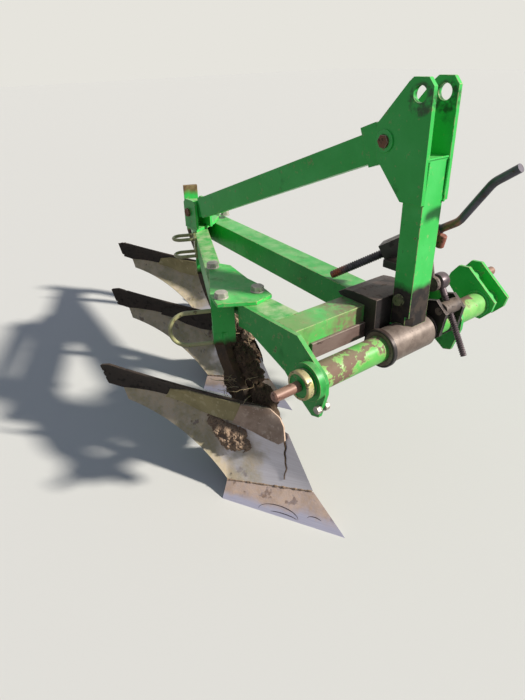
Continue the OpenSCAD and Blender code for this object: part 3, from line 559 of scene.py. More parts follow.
def make_piece(name, part, material, body="frame", uv=None, sharp=35.0):
    """Makes an object from points in metres and quads, closes it, and lets it ride on a body."""
    points, faces = np.asarray(part[0]).reshape(-1, 3), np.asarray(part[1])
    mesh = bpy.data.meshes.new(name)
    mesh.from_pydata(points.tolist(), [], faces.tolist())
    if uv is not None:
        corners = faces.reshape(-1)
        mesh.uv_layers.new(name="way_of_the_soil").data.foreach_set("uv", uv[corners].reshape(-1))
    work = bmesh.new()
    work.from_mesh(mesh)
    bmesh.ops.remove_doubles(work, verts=work.verts, dist=DOUBLED)
    bmesh.ops.recalc_face_normals(work, faces=work.faces)
    work.to_mesh(mesh)
    work.free()
    mesh.polygons.foreach_set("use_smooth", np.ones(len(mesh.polygons), bool))
    mesh.set_sharp_from_angle(angle=math.radians(sharp))
    piece = bpy.data.objects.new(name, mesh)
    bpy.context.scene.collection.objects.link(piece)
    mesh.materials.append(material)
    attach(piece, body)
    print(name, len(mesh.polygons), "faces")
    return piece


print("a grid of 3 by 4 points has", len(grid_faces(3, 4)), "faces")

# %% [markdown]
# ## Round bar and turned parts
#
# Most small parts of a plough are round. A bar is a circle carried along a path, and a turned part
# is a profile carried round an axis, so one function each makes every pin, ring, bead and root.

# %% Tubes and turned shapes
def unit(vectors):
    """Vectors scaled to length one."""
    return vectors / np.linalg.norm(vectors, axis=-1, keepdims=True)


def swept(path, radius, sides=16, guide=(0.13, 0.27, 0.95)):
    """A tube: circles of the given radius round each point of the path, closed at both ends."""
    path = np.asarray(path, float)
    radius = np.broadcast_to(np.asarray(radius, float), (len(path),)).copy()
    path = np.concatenate([path[:1], path, path[-1:]])
    radius = np.concatenate([[0.0], radius, [0.0]])
    along = unit(np.gradient(path[1:-1], axis=0))
    along = np.concatenate([along[:1], along, along[-1:]])
    side = unit(np.cross(along, guide))
    over = np.cross(along, side)
    turn = np.linspace(0, 2 * np.pi, sides, endpoint=False)
    ring = side[:, None] * np.cos(turn)[None, :, None] + over[:, None] * np.sin(turn)[None, :, None]
    return path[:, None] + ring * radius[:, None, None], grid_faces(len(path), sides, True)


def turned(profile, origin, axis, sides=32, flats=0):
    """A profile of (radius, height) rows turned about an axis; with flats, radii follow a polygon."""
    profile = np.asarray(profile, float)
    axis = unit(np.asarray(axis, float))
    side = unit(np.cross(axis, (0.31, 0.17, 0.93) if abs(axis[2]) < 0.9 else (1.0, 0.0, 0.0)))
    over = np.cross(axis, side)
    turn = np.linspace(0, 2 * np.pi, sides, endpoint=False)
    reach = profile[:, :1] * np.ones(sides)
    if flats:
        reach = reach / np.cos((turn + np.pi / flats) % (2 * np.pi / flats) - np.pi / flats)
        reach = np.minimum(reach, np.where(profile[:, 2:3] > 0, profile[:, 2:3], np.inf))
    ring = side * np.cos(turn)[:, None] + over * np.sin(turn)[:, None]
    points = np.asarray(origin, float) + reach[..., None] * ring[None] + profile[:, 1, None, None] * axis
    return points, grid_faces(len(profile), sides, True)


print("a turned profile of 5 rows has", len(turned(np.ones((5, 2)), (0, 0, 0), (0, 0, 1))[1]), "faces")

# %% [markdown]
# ## Sheets and crumbs
#
# A board or a blade is two skins closed round the rim. Earth is what noise does to a shape: sine
# waves in random directions, each octave half the size, give lumps with smaller lumps on them.

# %% Sheets and crumbly noise
# The waves in each octave, and about their mean height, which is taken off.
WAVES, LEVEL = 10, 0.6


def shell(front, back):
    """A plate between two skins of the same grid, closed round its rim, with UV along the grid."""
    rows, cols = front.shape[:2]
    loop = np.concatenate([front, back[:, ::-1]], axis=1)
    faces = grid_faces(rows, 2 * cols, True)
    j = np.arange(cols - 1)
    start = np.stack([j, j + 1, 2 * cols - 2 - j, 2 * cols - 1 - j], -1)
    faces = np.concatenate([faces, start, start + (rows - 1) * 2 * cols])
    u, v = np.meshgrid(np.linspace(0, 1, rows), np.linspace(0, 1, cols), indexing="ij")
    uv = np.stack([np.concatenate([u, u], 1), np.concatenate([v, v[:, ::-1]], 1)], -1).reshape(-1, 2)
    return (loop.reshape(-1, 3), faces), uv


def lumps(points, size, seed, octaves=4):
    """Crumbly noise: sums of sine waves in random directions, each octave half the size."""
    dice = np.random.default_rng(seed)
    total = np.zeros(points.shape[:-1])
    for octave in range(octaves):
        waves = unit(dice.normal(size=(WAVES, 3))) * (2 * np.pi / size) * 2 ** octave
        phase = dice.uniform(0, 2 * np.pi, WAVES)
        total += (np.abs(np.sin(points @ waves.T + phase)).mean(-1) - LEVEL) / 2 ** octave
    return total


print("noise at three points", lumps(np.eye(3), 1.0, 1).round(3).tolist())

# %% [markdown]
# ## Edges of the carried-over solids
#
# A solid from CAD has edges of no width, and no real plate has: a cut edge is broken by a grinder, and enamel
# is thinnest there, so it rubs through first. Welding the loose triangles, dissolving the flat ones and
# bevelling what is left gives each edge a narrow face of its own, and that face takes a second material slot,
# the rubbed edge; on the green parts its pale tone is partly a painted highlight. The solids stay as they are
# under the modifiers.

# %% Break the edges
EDGE_WIDTH_MM = 1.6


def break_edges(node, finish, edge_finish):
    """Weld, dissolve flat triangles, bevel sharp edges into a second slot, and weight the normals."""
    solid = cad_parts[node]
    solid.data.materials.clear()
    solid.data.materials.append(finish)
    solid.data.materials.append(edge_finish)
    weld = solid.modifiers.new("weld", "WELD")
    weld.merge_threshold = 1e-5
    flat = solid.modifiers.new("flat", "DECIMATE")
    flat.decimate_type = "DISSOLVE"
    flat.angle_limit = math.radians(1.0)
    edge = solid.modifiers.new("edge", "BEVEL")
    edge.width = EDGE_WIDTH_MM * MM
    edge.segments = 2
    edge.limit_method = "ANGLE"
    edge.angle_limit = math.radians(35.0)
    edge.use_clamp_overlap = True
    edge.material = 1
    even = solid.modifiers.new("even", "WEIGHTED_NORMAL")
    even.keep_sharp = True


print("edges are", EDGE_WIDTH_MM, "mm wide")

# %% [markdown]
# ## Which finish goes where
#
# Each row gives a finish, the finish of its rubbed edges, and the solids that wear them.

# %% Dress the solids
dressing = (
    (enamel_mast, steel_edge_worn_highlit, "mast_post"),
    (enamel_plate, steel_edge_worn_highlit, "mast_plate_right mast_plate_left"),
    (enamel_sound, steel_edge_worn_highlit, "brace left_crank"),
    (enamel_dusted_sheen_blotted, steel_edge_worn_highlit, "brace_bracket joint_plate rear_plate"),
    (steel_greasy, steel_grimy, "headstock"),
    (enamel_soiled, steel_edge_worn_highlit, "cross_beam"),
    (enamel_shaded_sheen_topped, steel_edge_worn_highlit, "right_beam oblique_bar"),
    (enamel_scuffed_shade_dark, steel_edge_worn_highlit, "long_beam side_plate_right side_plate_left"),
    (steel_strip, steel_browned, "beam_strip"),
    (steel_sleeve, steel_browned, "shaft_sleeve"),
    (steel_rusty, steel_browned, "brace_bolts"),
    (enamel_leg, enamel_leg, "leg_1 leg_2"),
    (enamel_rear_leg, enamel_rear_leg, "leg_3"),
    (enamel_pale, steel_edge_worn_highlit, "leg_loop_1 leg_loop_2"),
    (share_finish, steel_bolt, "share_1 share_2 share_3"),
    (landside_finish, steel_bolt, "landside_1 landside_2 landside_3"),
    (steel_greasy, steel_greasy, "nut_block"),
    (steel_grimy, steel_browned, "adjuster_arm"),
    (enamel_rubbed_highlit, steel_browned, "shaft_tube"),
    (steel_pin, steel_pin, "right_link_pin left_link_pin"),
    (steel_greasy, steel_browned, "lever_plates"),
    (steel_grimy, steel_grimy, "trunnion"),
    (steel_forged, steel_forged, "crank_screw threaded_rod"),
    (board_finish, steel_bolt, "mouldboard_1 mouldboard_2 mouldboard_3"),
    (trash_black_painted_shade, steel_rusty, "trash_board_1 trash_board_2 trash_board_3"),
)
for finish, edge_finish, nodes in dressing:
    for node in nodes.split():
        break_edges(node, finish, edge_finish)
print("dressed", sum(len(row[2].split()) for row in dressing), "of", len(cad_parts), "solids")

# %% [markdown]
# ## The mouldboards
#
# A mouldboard turns the furrow slice over, so its face is a twisted, hollow sheet. It is drawn as
# a smooth surface between two rails: a low one along the share's top and on to the wing, and a
# high one from the shin to the wing's top, with a hollow between. The rails are quadratic curves.
# The solid has the same surface in larger facets, so a finer grid can take its place.

# %% The body's curved face
SHARE_HEADING, SHARE_SLOPE = math.radians(28.4), math.radians(48.5)
SHARE_EDGE, SHARE_OUTER, SHARE_INNER, SHARE_THICK = 389.0, 57.0, 96.0, 11.0
SHARE_PART = 0.4
SHIN_TOP, TOP_PULL, WING_TOP = np.array([[-297, 0, 278], [-490, -137, 296], [-722, -325, 363]], float)
WING_LOW, LOW_PULL = np.array([[-708, -292, 220], [-535, -178, 169]], float)
# The hollow's depths in mm and the trash board's lower edge, each as a start, a pull and an end.
HOLLOW_DEPTHS, TRASH_LOW = (0.0, 84.0, 6.0), (0.60, 0.77, 0.36)
HOLLOW_HEADING = math.radians(33)
BEHIND = np.array([-math.sin(HOLLOW_HEADING), math.cos(HOLLOW_HEADING), 0.0])


def on_share(p, q):
    """Points of the share's plane: p along the cutting edge and q up the slope, both in mm."""
    p, q = np.broadcast_arrays(np.asarray(p, float), np.asarray(q, float))
    run = q * math.cos(SHARE_SLOPE)
    return np.stack([p * math.cos(SHARE_HEADING) - run * math.sin(SHARE_HEADING),
                     p * math.sin(SHARE_HEADING) + run * math.cos(SHARE_HEADING),
                     q * math.sin(SHARE_SLOPE)], -1)


def bow(a, b, c, t):
    """A quadratic curve: a at the start, pulled towards b, c at the end."""
    return a * (1 - t) ** 2 + b * 2 * t * (1 - t) + c * t * t


SHARE_INNER_P = -SHARE_INNER * math.cos(SHARE_SLOPE) * math.cos(SHARE_HEADING) / math.sin(SHARE_HEADING)
SHARE_OUT, SHARE_IN = on_share(-SHARE_EDGE, SHARE_OUTER), on_share(SHARE_INNER_P, SHARE_INNER)


def on_board(u, v):
    """The board's face: between the low rail and the high rail, hollowed backwards in between."""
    u, v = np.asarray(u, float)[..., None], np.asarray(v, float)[..., None]
    first = SHARE_IN + (SHARE_OUT - SHARE_IN) * u / SHARE_PART
    second = bow(SHARE_OUT, LOW_PULL, WING_LOW, (u - SHARE_PART) / (1 - SHARE_PART))
    low_rail = np.where(u < SHARE_PART, first, second)
    high_rail = bow(SHIN_TOP, TOP_PULL, WING_TOP, u)
    return low_rail * (1 - v) + high_rail * v + BEHIND * 4 * v * (1 - v) * bow(*HOLLOW_DEPTHS, u)


def board_normal(u, v, e=0.01):
    """The unit normal towards the back, from the difference of neighbouring points."""
    return unit(np.cross(on_board(u + e, v) - on_board(u - e, v), on_board(u, v + e) - on_board(u, v - e)))


def behind_board(u, v, depth):
    """Points at a depth behind the face in mm, kept on the right of the landside's plane."""
    points = on_board(u, v) + board_normal(u, v) * np.asarray(depth, float)[..., None]
    points[..., 1] = np.minimum(points[..., 1], 0.0)
    return points


def trash_low(u):
    """The lower edge of the trash board, as a row of the board."""
    return bow(*TRASH_LOW, u)


def sheet_between(u, v, front_depth, back_depth, number):
    """A sheet on a body's board between two depths behind its face, negative where it is in front."""
    skins = [at_body(behind_board(u, v, 0 * u + depth), number) for depth in (front_depth, back_depth)]
    return shell(*skins)


print("wing top at", on_board(1.0, 1.0).tolist(), "mm from the share's tip")

# %% [markdown]
# ## The boards in place
#
# The board starts just above the share's seam and runs up behind the trash board. Its front lies
# a hair behind the drawn face, and the same sheet is moved back along the bar for each body.

# %% Mouldboards
BOARD_FOOT, BOARD_LAP, BOARD_FRONT, BOARD_BACK = 0.012, 0.10, 0.05, 8.0
u_board, r_board = np.meshgrid(np.linspace(0, 1, 76), np.linspace(0, 1, 34), indexing="ij")
v_board = BOARD_FOOT + (trash_low(u_board) + BOARD_LAP - BOARD_FOOT) * r_board
for number in (1, 2, 3):
    part, uv = sheet_between(u_board, v_board, BOARD_FRONT, BOARD_BACK, number)
    board = make_piece(f"mouldboard_face_{number}", part, board_finish, uv=uv)
    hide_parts(f"mouldboard_{number}")

# %% [markdown]
# ## The trash boards
#
# Above each mouldboard a second plate keeps straw and roots from falling over the top. It is cut
# from flat stock and bolted on, its front corner is clipped and its rear end is ragged. The grid
# follows the same face, a plate's thickness in front of it, and its rows stop at the cut edges.

# %% Trash boards
TRASH_FRONT, TRASH_BACK = -6.25, -0.35
TAIL_REACH, CLIP_REACH, CUT = 0.06, 0.067, 0.10
u_trash, r_trash = np.meshgrid(np.linspace(0.03, 1.06, 100), np.linspace(0, 1, 26), indexing="ij")
past = np.clip((u_trash - 1.0) / TAIL_REACH, 0, 1)
clip = np.clip(1 - u_trash / CLIP_REACH, 0, 1)
low_edge = trash_low(u_trash) + CUT * past
high_edge = 1.0 - CUT * past - CUT * clip
v_trash = low_edge + (high_edge - low_edge) * r_trash
for number in (1, 2, 3):
    torn = lumps(on_board(u_trash, v_trash), 34.0, 40 + number)
    v_worn = v_trash + 0.16 * np.minimum(torn, 0.0) * r_trash ** 4 * np.clip((u_trash - 0.8) * 5, 0, 1)
    u_worn = u_trash + 0.07 * np.minimum(torn, 0.0) * np.clip((u_trash - 0.97) / 0.09, 0, 1)
    part, uv = sheet_between(u_worn, v_worn, TRASH_FRONT, TRASH_BACK, number)
    # The plate is near-black as painted shade, where its rear part faces away from the sun.
    board = make_piece(f"trash_board_plate_{number}", part, trash_black_painted_shade, uv=uv)
    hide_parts(f"trash_board_{number}")

# %% [markdown]
# ## The two plates bolted over the trash board
#
# On the real plough the trash board is patched: an olive plate covers its middle, and a pinkish one
# with a clipped corner sits over the shin. Each is a grid between a front and a rear edge that
# lean, drawn on the board's own face, so it follows every curve of what it lies on.

# %% Middle and front plates
def patch_plate(edges, under, over, number, rows=40, cols=24):
    """A plate between two heights over the board, blended from a low to a high edge of (u, v) rows."""
    s, r = np.meshgrid(np.linspace(0, 1, rows), np.linspace(0, 1, cols), indexing="ij")
    low, high = (np.array(edge, float) for edge in edges)
    at = np.linspace(0, 1, len(low))
    u = np.interp(s, at, low[:, 0]) * (1 - r) + np.interp(s, at, high[:, 0]) * r
    v = np.interp(s, at, low[:, 1]) * (1 - r) + np.interp(s, at, high[:, 1]) * r
    v = v + 0.004 * lumps(on_board(u, v), 45.0, 60 + number) * (1 - (2 * r - 1) ** 2 * 0.2)
    return sheet_between(u, v, -over, -under, number)


PLATE_UNDER, MIDDLE_OVER, FRONT_OVER = 6.3, 10.0, 13.5
MIDDLE_LOW = [(0.29, 0.66), (0.40, 0.645), (0.56, 0.535), (0.68, 0.52), (0.77, 0.47)]
MIDDLE_HIGH = [(0.24, 0.97), (0.36, 0.965), (0.47, 0.955), (0.57, 0.94), (0.705, 0.765)]
FRONT_LOW = [(0.03, 0.60), (0.08, 0.525), (0.155, 0.545), (0.25, 0.60), (0.34, 0.635)]
FRONT_HIGH = [(-0.004, 0.80), (0.0, 0.90), (0.045, 0.995), (0.13, 0.995), (0.235, 0.965)]
for number in (1, 2, 3):
    # The second body's middle plate takes the near-black painted shade in place of the olive.
    middle_finish = trash_black_painted_shade if number == 2 else trash_olive
    part, uv = patch_plate((MIDDLE_LOW, MIDDLE_HIGH), PLATE_UNDER, MIDDLE_OVER, number)
    make_piece(f"trash_middle_plate_{number}", part, middle_finish, uv=uv)
    part, uv = patch_plate((FRONT_LOW, FRONT_HIGH), PLATE_UNDER, FRONT_OVER, number)
    make_piece(f"trash_front_plate_{number}", part, trash_front, uv=uv)

# %% [markdown]
# ## The shares
#
# The share is the replaceable cutting blade. It is ground from below along its edge, so it is thick at the
# top and thin where it cuts; its tip, worn a little round on the real share, is drawn as a sharp corner. Its
# face stays flat, a grid along the edge and up the slope, and its back is the same grid set back by the
# thickness.

# %% Shares
EDGE_THICK, GRIND = 2.5, 0.6
p_grid, s_share = np.meshgrid(np.linspace(0, 1, 60), np.linspace(0, 1, 16), indexing="ij")
top_p = -SHARE_EDGE - 1 + (SHARE_INNER_P + SHARE_EDGE + 1) * (1 - p_grid)
top_q = SHARE_OUTER + (SHARE_INNER - SHARE_OUTER) * (1 - p_grid)
p_share = -SHARE_EDGE * p_grid * (1 - s_share) + top_p * s_share
q_share = top_q * s_share
face = on_share(p_share, q_share)
thick = np.minimum(SHARE_THICK, EDGE_THICK + q_share * GRIND)
under = face - np.cross(on_share(1.0, 0.0), on_share(0.0, 1.0)) * thick[..., None]
under[..., 2] = np.maximum(under[..., 2], 0.0)
under[..., 1] = np.minimum(under[..., 1], 0.0)
face[..., 1] = np.minimum(face[..., 1], 0.0)
for number in (1, 2, 3):
    part, uv = shell(at_body(face, number), at_body(under, number))
    blade = make_piece(f"share_blade_{number}", part, share_finish, uv=uv)
    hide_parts(f"share_{number}")

# %% [markdown]
# ## The crank screw and the threaded rod
#
# Both adjusters are round bar with a coarse thread. A thread is a radius that rises and falls
# with the turn and the length together, so one grid along and around the bar holds it. The crank
# is the same bar bent by hand, a line of points whose corners are smoothed by averaging.

# %% Threads and bent bar
def threaded(start, end, radius, pitch, depth, sides=24):
    """A bar whose radius is a triangle wave of length over pitch minus turn, plain at both ends."""
    start, end = np.asarray(start, float), np.asarray(end, float)
    length = np.linalg.norm(end - start)
    rows = int(length / pitch * 6)
    s = np.linspace(0, length, rows)
    axis = (end - start) / length
    side = unit(np.cross(axis, (0.1, 0.9, 0.2)))
    over = np.cross(axis, side)
    turn = np.linspace(0, 2 * np.pi, sides, endpoint=False)
    wave = np.abs((s[:, None] / pitch - turn[None] / (2 * np.pi)) % 1.0 - 0.5) * 2
    fade = np.clip(np.minimum(s, length - s) / (pitch * 0.8), 0, 1)[:, None]
    reach = radius - depth * wave * fade - (1 - fade) * depth * 0.5
    ring = side * np.cos(turn)[:, None] + over * np.sin(turn)[:, None]
    body = start + s[:, None, None] * axis + reach[..., None] * ring[None]
    first, last = (np.broadcast_to(point, (1, sides, 3)) for point in (start, end))
    return np.concatenate([first, body, last]), grid_faces(rows + 2, sides, True)


def bent(corners, step=3.0, soft=17):
    """A line through corners sampled every few mm, with each corner rounded by a running mean."""
    corners = np.asarray(corners, float)
    run = np.concatenate([[0], np.cumsum(np.linalg.norm(np.diff(corners, axis=0), axis=1))])
    s = np.linspace(0, run[-1], int(run[-1] / step))
    line = np.stack([np.interp(s, run, corners[:, k]) for k in range(3)], -1)
    pad = np.concatenate([np.repeat(line[:1], soft // 2, 0), line, np.repeat(line[-1:], soft // 2, 0)])
    out = np.stack([np.convolve(pad[:, k], np.ones(soft) / soft, "valid") for k in range(3)], -1)
    out[0], out[-1] = line[0], line[-1]
    return out


print("a straight line of 30 mm gets", len(bent([(0, 0, 0), (30, 0, 0)])), "points")

# %% [markdown]
# ## The two adjusters in place
#
# The crank screw runs down and back to its nut beside the mast, with a collar and an upright boss
# where the handle bends away. The rod hangs from its eye on the arm's pin and rides on a body of
# its own, because it slides through the block when the cross shaft turns.

# %% Crank and rod
SCREW_BACK, SCREW_FRONT = np.array([-281.0, -35.0, 113.0]), np.array([-10.0, 100.0, 290.0])
SCREW_DIR = unit(SCREW_FRONT - SCREW_BACK)
SCREW_RADIUS, SCREW_PITCH, SCREW_DEPTH, THREADED = 13.0, 7.5, 3.2, 305
HANDLE_RADIUS, NECK_RADIUS = 11.0, 12.8
HANDLE = [SCREW_FRONT - SCREW_DIR * 20, SCREW_FRONT, [44, 100, 322], [120, 100, 433], [180, 100, 475]]
handle = bent(HANDLE, 2.0, 13)
grip = np.full(len(handle), HANDLE_RADIUS)
grip[:9] = NECK_RADIUS
screw = [threaded(SCREW_BACK, SCREW_BACK + SCREW_DIR * THREADED, SCREW_RADIUS, SCREW_PITCH, SCREW_DEPTH),
         swept([SCREW_BACK + SCREW_DIR * (THREADED - 5), SCREW_FRONT + SCREW_DIR * 4], 12.9, 24),
         swept(handle, grip, 20, (0.1, 0.98, 0.1))]
crank = make_piece("crank_bar", placed(screw), steel_crank)
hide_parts("crank_screw")
ring_rows = [(13.2, 0), (16, 0), (17.5, 1.5), (17.5, 12), (16, 13.5), (13.2, 13.5), (13.2, 0)]
boss_rows = [(0, 0), (10.5, 0), (13, 2.5), (13, 33), (10.5, 36), (0, 36)]
collar = [turned(ring_rows, SCREW_FRONT - SCREW_DIR * 14, SCREW_DIR, 36),
          turned(boss_rows, (-6, 100, 241), (0.2, 0.0, 1.0), 36)]
make_piece("crank_collar", placed(collar), steel_collar)

ROD_TILT, ROD_Y = math.radians(30), 128.0
TRUNNION = np.array([35.0, ROD_Y, 64.0])
DOWN_ROD = np.array([math.sin(ROD_TILT), 0.0, -math.cos(ROD_TILT)])
EYE = TRUNNION - DOWN_ROD * 80
ROD_RADIUS, ROD_PITCH, ROD_DEPTH = 10.0, 6.5, 2.6
eye_rows = [(14.0, -18), (14.0, 18), (19.0, 18), (23.5, 15), (25.0, 9), (25.0, -9), (23.5, -15),
            (19.0, -18), (14.0, -18)]
rod = [turned(eye_rows, EYE, (0, 1, 0), 40),
       swept([EYE + DOWN_ROD * 20, EYE + DOWN_ROD * 44], ROD_RADIUS, 24, (0, 1, 0)),
       threaded(EYE + DOWN_ROD * 42, TRUNNION + DOWN_ROD * 150, ROD_RADIUS, ROD_PITCH, ROD_DEPTH)]
hanger = make_piece("adjuster_thread", placed(rod), steel_forged, "adjuster_rod")
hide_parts("threaded_rod")

# %% [markdown]
# ## Bolts, nuts and washers
#
# A hexagon head is a disc whose radius follows six flats, with its corners taken off by a cone, so
# it is the same turned profile as a washer with one more rule. All fasteners of one place are
# gathered in one piece, because they are one job for the fitter and one finish.

# %% Fasteners
def hexagon(origin, axis, across_flats, height):
    """A hexagon prism: radii by six flats, its outer corners cut by a limiting circle, a flat top."""
    r, top = across_flats / 2, across_flats / 2 * 1.06
    rows = [(0, 0, 0), (r, 0, 0), (r, height * 0.88, 0), (r, height, top),
            (r * 0.86, height, top * 0.9), (0, height, 0)]
    return turned(rows, origin, axis, 48, 6)


def washer(origin, axis, radius, thickness, bore=0.0):
    """A flat ring with eased edges, or a plain disc where its bore is zero."""
    e = thickness * 0.25
    rows = [(bore, 0), (radius - e, 0), (radius, e), (radius, thickness - e), (radius - e, thickness),
            (bore, thickness), (bore, 0)]
    return turned(rows, origin, axis, 36)


def bolt(origin, axis, across_flats, height, washer_radius, stub=0.0):
    """A washer, a hexagon on it and, where a nut is meant, the end of its stud."""
    axis = unit(np.asarray(axis, float))
    origin = np.asarray(origin, float)
    parts = [washer(origin - axis * 0.5, axis, washer_radius, 4.0),
             hexagon(origin + axis * 3.3, axis, across_flats, height)]
    if stub:
        r = across_flats * 0.32
        rows = [(0, 0), (r, 0), (r, stub - 2), (r - 2, stub), (0, stub)]
        parts.append(turned(rows, origin + axis * (3 + height), axis, 24))
    return gather(parts)


UP, DOWN, RIGHT, LEFT = (0, 0, 1), (0, 0, -1), (0, -1, 0), (0, 1, 0)
PLATE_TOP, BAR_UNDER = 112.0, 15.0
REAR_CORNERS, FRONT_CORNER = ((-584, -281), (-331, -288)), (-361, -395)
fasteners = {
    "joint_bolts": [bolt((x, y, PLATE_TOP), UP, 34, 14, 21) for x, y in (*REAR_CORNERS, FRONT_CORNER)],
    "joint_nuts": [bolt((x, y, BAR_UNDER), DOWN, 36, 18, 23, 9) for x, y in REAR_CORNERS],
    "mast_foot_bolt": [bolt((-12, -39, 120), RIGHT, 26, 10, 17), bolt((-12, 39, 120), LEFT, 26, 14, 17, 6)],
    "side_plate_bolt": [bolt((31, -367, -73), RIGHT, 19, 11, 11), bolt((31, -354, -73), LEFT, 19, 10, 11, 3)],
    "brace_washers": [washer((-99, way * 52.5, 522), (0, way, 0), 27, 4, 16.6) for way in (-1, 1)],
    "rear_plate_bolts": [bolt((x, y, PLATE_TOP), UP, 30, 16, 20, 7) for x, y in ((-1092, 106), (-1150, 40))],
}
fastener_finish = {"mast_foot_bolt": steel_bolt_painted, "brace_washers": enamel_dusted_sheen_blotted}
for name, parts in fasteners.items():
    make_piece(name, placed(parts), fastener_finish.get(name, steel_bolt))

# %% [markdown]
# ## The right link pin
#
# The lower link's ball sits on this pin and rubs against the disc behind it, so the pin is bare
# and rusty with a chamfered end, and the disc keeps its green only inside a rim rubbed to yellow
# primer. Both are lathe work, so both are turned profiles.

# %% Pin, disc and rim
DISC_AT, DISC_SIDES = (0, -387, 0), 56
pin_rows = [(0, -1), (14, -1), (14, 74), (10.5, 78), (0, 78)]
pin = placed([turned(pin_rows, (0, -415, 0), RIGHT, 40)])
right_pin = make_piece("right_pin", pin, steel_pin, "cross_shaft")
disc_rows = [(0, 0), (35, 0), (35, 8), (38.5, 8), (38.5, 27.5), (31, 27.5), (29, 25), (0, 25)]
disc = placed([turned(disc_rows, DISC_AT, RIGHT, DISC_SIDES)])
right_disc = make_piece("right_disc", disc, enamel_scuffed_shade_dark, "cross_shaft")
rim_rows = [(38.6, 8.5), (40, 10), (40, 26), (38.4, 27.9), (32.5, 27.9), (31.5, 26.8), (31.5, 20), (38.6, 20),
            (38.6, 8.5)]
rim = placed([turned(rim_rows, DISC_AT, RIGHT, DISC_SIDES)])
make_piece("right_disc_rim", rim, steel_rim, "cross_shaft")
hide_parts("right_link_pin")
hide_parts("right_link_pin")
collar_rows = [(50.2, 0), (54, 0), (56, 2), (56, 13), (54, 15), (50.2, 15), (50.2, 0)]
sleeve_collar = placed([turned(collar_rows, (0, -107.5, 0), RIGHT, 60)])
make_piece("sleeve_collar", sleeve_collar, steel_greasy)

# %% [markdown]
# ## Weld beads
#
# The plates are joined by hand-laid fillet welds, which look like a row of overlapping drops. A
# bead is a thin tube whose radius swells every few millimetres, half sunk into the corner.

# %% Welds
BEAD_STEP = 1.6


def bead(corners, radius=4.0, ripple=7.0):
    """A tube along a line, its radius swelling with the length like overlapping drops."""
    line = bent(corners, BEAD_STEP, 3)
    s = np.linspace(0, 1, len(line)) * len(line) * BEAD_STEP
    size = radius * (0.9 + 0.16 * np.abs(np.sin(np.pi * s / ripple)) + 0.08 * np.sin(s / 31.0))
    return swept(line, size, 8)


def round_bead(radius, y, size):
    """A bead along a circle about the shaft's axis, at a distance along it."""
    turn = np.linspace(0.02, 2 * np.pi - 0.02, 90)
    return bead(np.stack([radius * np.cos(turn), 0 * turn + y, radius * np.sin(turn)], -1), size)


MAST_SIDES = (-39.0, 39.0)
mast_welds = [bead([(31, y, 385), (-36, y, 384)], 3.6) for y in MAST_SIDES]
mast_welds += [bead([(28, y, 398), (30, y, 486)], 2.6) for y in MAST_SIDES]
mast_welds += [bead([(26, -37, 490), (26, 37, 490)], 2.6), bead([(-34, -41, 40), (24, -41, 40)], 3.0)]
make_piece("mast_welds", placed(mast_welds), enamel_sound)
make_piece("crank_weld", placed([round_bead(39, 342, 4.0)]), enamel_sound, "cross_shaft")
lever_welds = [round_bead(38.5, y, 3.5) for y in (81.0, 95.0, 161.0, 175.0)]
make_piece("lever_welds", placed(lever_welds), steel_greasy, "cross_shaft")

# %% [markdown]
# ## Scratches on the first share
#
# Stones left dark curved scores low on the first share. Each is part of an ellipse in the
# share's plane, as a fine raised line.

# %% Scores
SCORE_POINTS = 48


def score(middle, half_length, rise, first, last):
    """A thin tube, fine at both ends, along part of an ellipse on the share, between two angles."""
    turn = np.radians(np.linspace(first, last, SCORE_POINTS))
    line = on_share(middle[0] + half_length * np.cos(turn), middle[1] + rise * np.sin(turn))
    return swept(line, np.sin(np.linspace(0.2, np.pi - 0.2, SCORE_POINTS)) ** 0.5, 6)


scores = [score((-206, 6), 63, 24, 3, 178), score((-190, 4), 46, 8, 20, 150),
          score((-96, 20), 22, 9, 30, 170)]
make_piece("share_scratches_1", placed(scores, 1), steel_greasy)

# %% [markdown]
# ## Earth that stuck
#
# Wet clay cakes where the board is hollow and dries there as a crumbly lump, and more hangs from
# the leg behind the first board, full of roots. A cake is a patch of the board's own grid raised
# by a smooth hill times crumbly noise, and a clod is a ball of points pushed in and out by it.

# %% Cakes and clods
CAKE_BACK, CAKE_SUNK = 2.0, 1.2
OUTLINE_MM, LUMP_MM, CLOD_MM = 70.0, 58.0, 46.0


def cake(u0, u1, v0, v1, height, seed, number, n):
    """A raised patch: height times a rounded hill over the patch times crumbly noise, on the face."""
    a, b = np.meshgrid(np.linspace(-1, 1, n), np.linspace(-1, 1, n), indexing="ij")
    x, y = a * np.sqrt(1 - b ** 2 * 0.5), b * np.sqrt(1 - a ** 2 * 0.5)
    u = (u0 + u1) / 2 + x * (u1 - u0) / 2
    v = (v0 + v1) / 2 + y * (v1 - v0) / 2
    face = on_board(u, v)
    outline = lumps(face, OUTLINE_MM, seed + 50, 4)
    noise = lumps(face, LUMP_MM, seed, 4)
    hill = np.clip(1 - x ** 2 - y ** 2 - 0.25 + 1.1 * outline, 0, 1) ** 0.5
    rise_mm = np.maximum(height * hill * (0.66 + 0.9 * noise), 0.0) - CAKE_SUNK * (hill <= 0)
    return sheet_between(u, v, -rise_mm, CAKE_BACK, number)[0]


def clod(centre, radii, seed, n=48):
    """A ball: latitude and longitude, each point moved along its own direction by crumbly noise."""
    around = np.linspace(0, 2 * np.pi, 2 * n, endpoint=False)
    lat, lon = np.meshgrid(np.linspace(0, np.pi, n), around, indexing="ij")
    out = np.stack([np.sin(lat) * np.cos(lon), np.sin(lat) * np.sin(lon), np.cos(lat)], -1)
    points = out * np.asarray(radii, float)
    swell = 1 + 0.55 * lumps(points + np.asarray(centre, float), CLOD_MM, seed, 5)
    return points * swell[..., None] + np.asarray(centre, float), grid_faces(n, 2 * n, True)


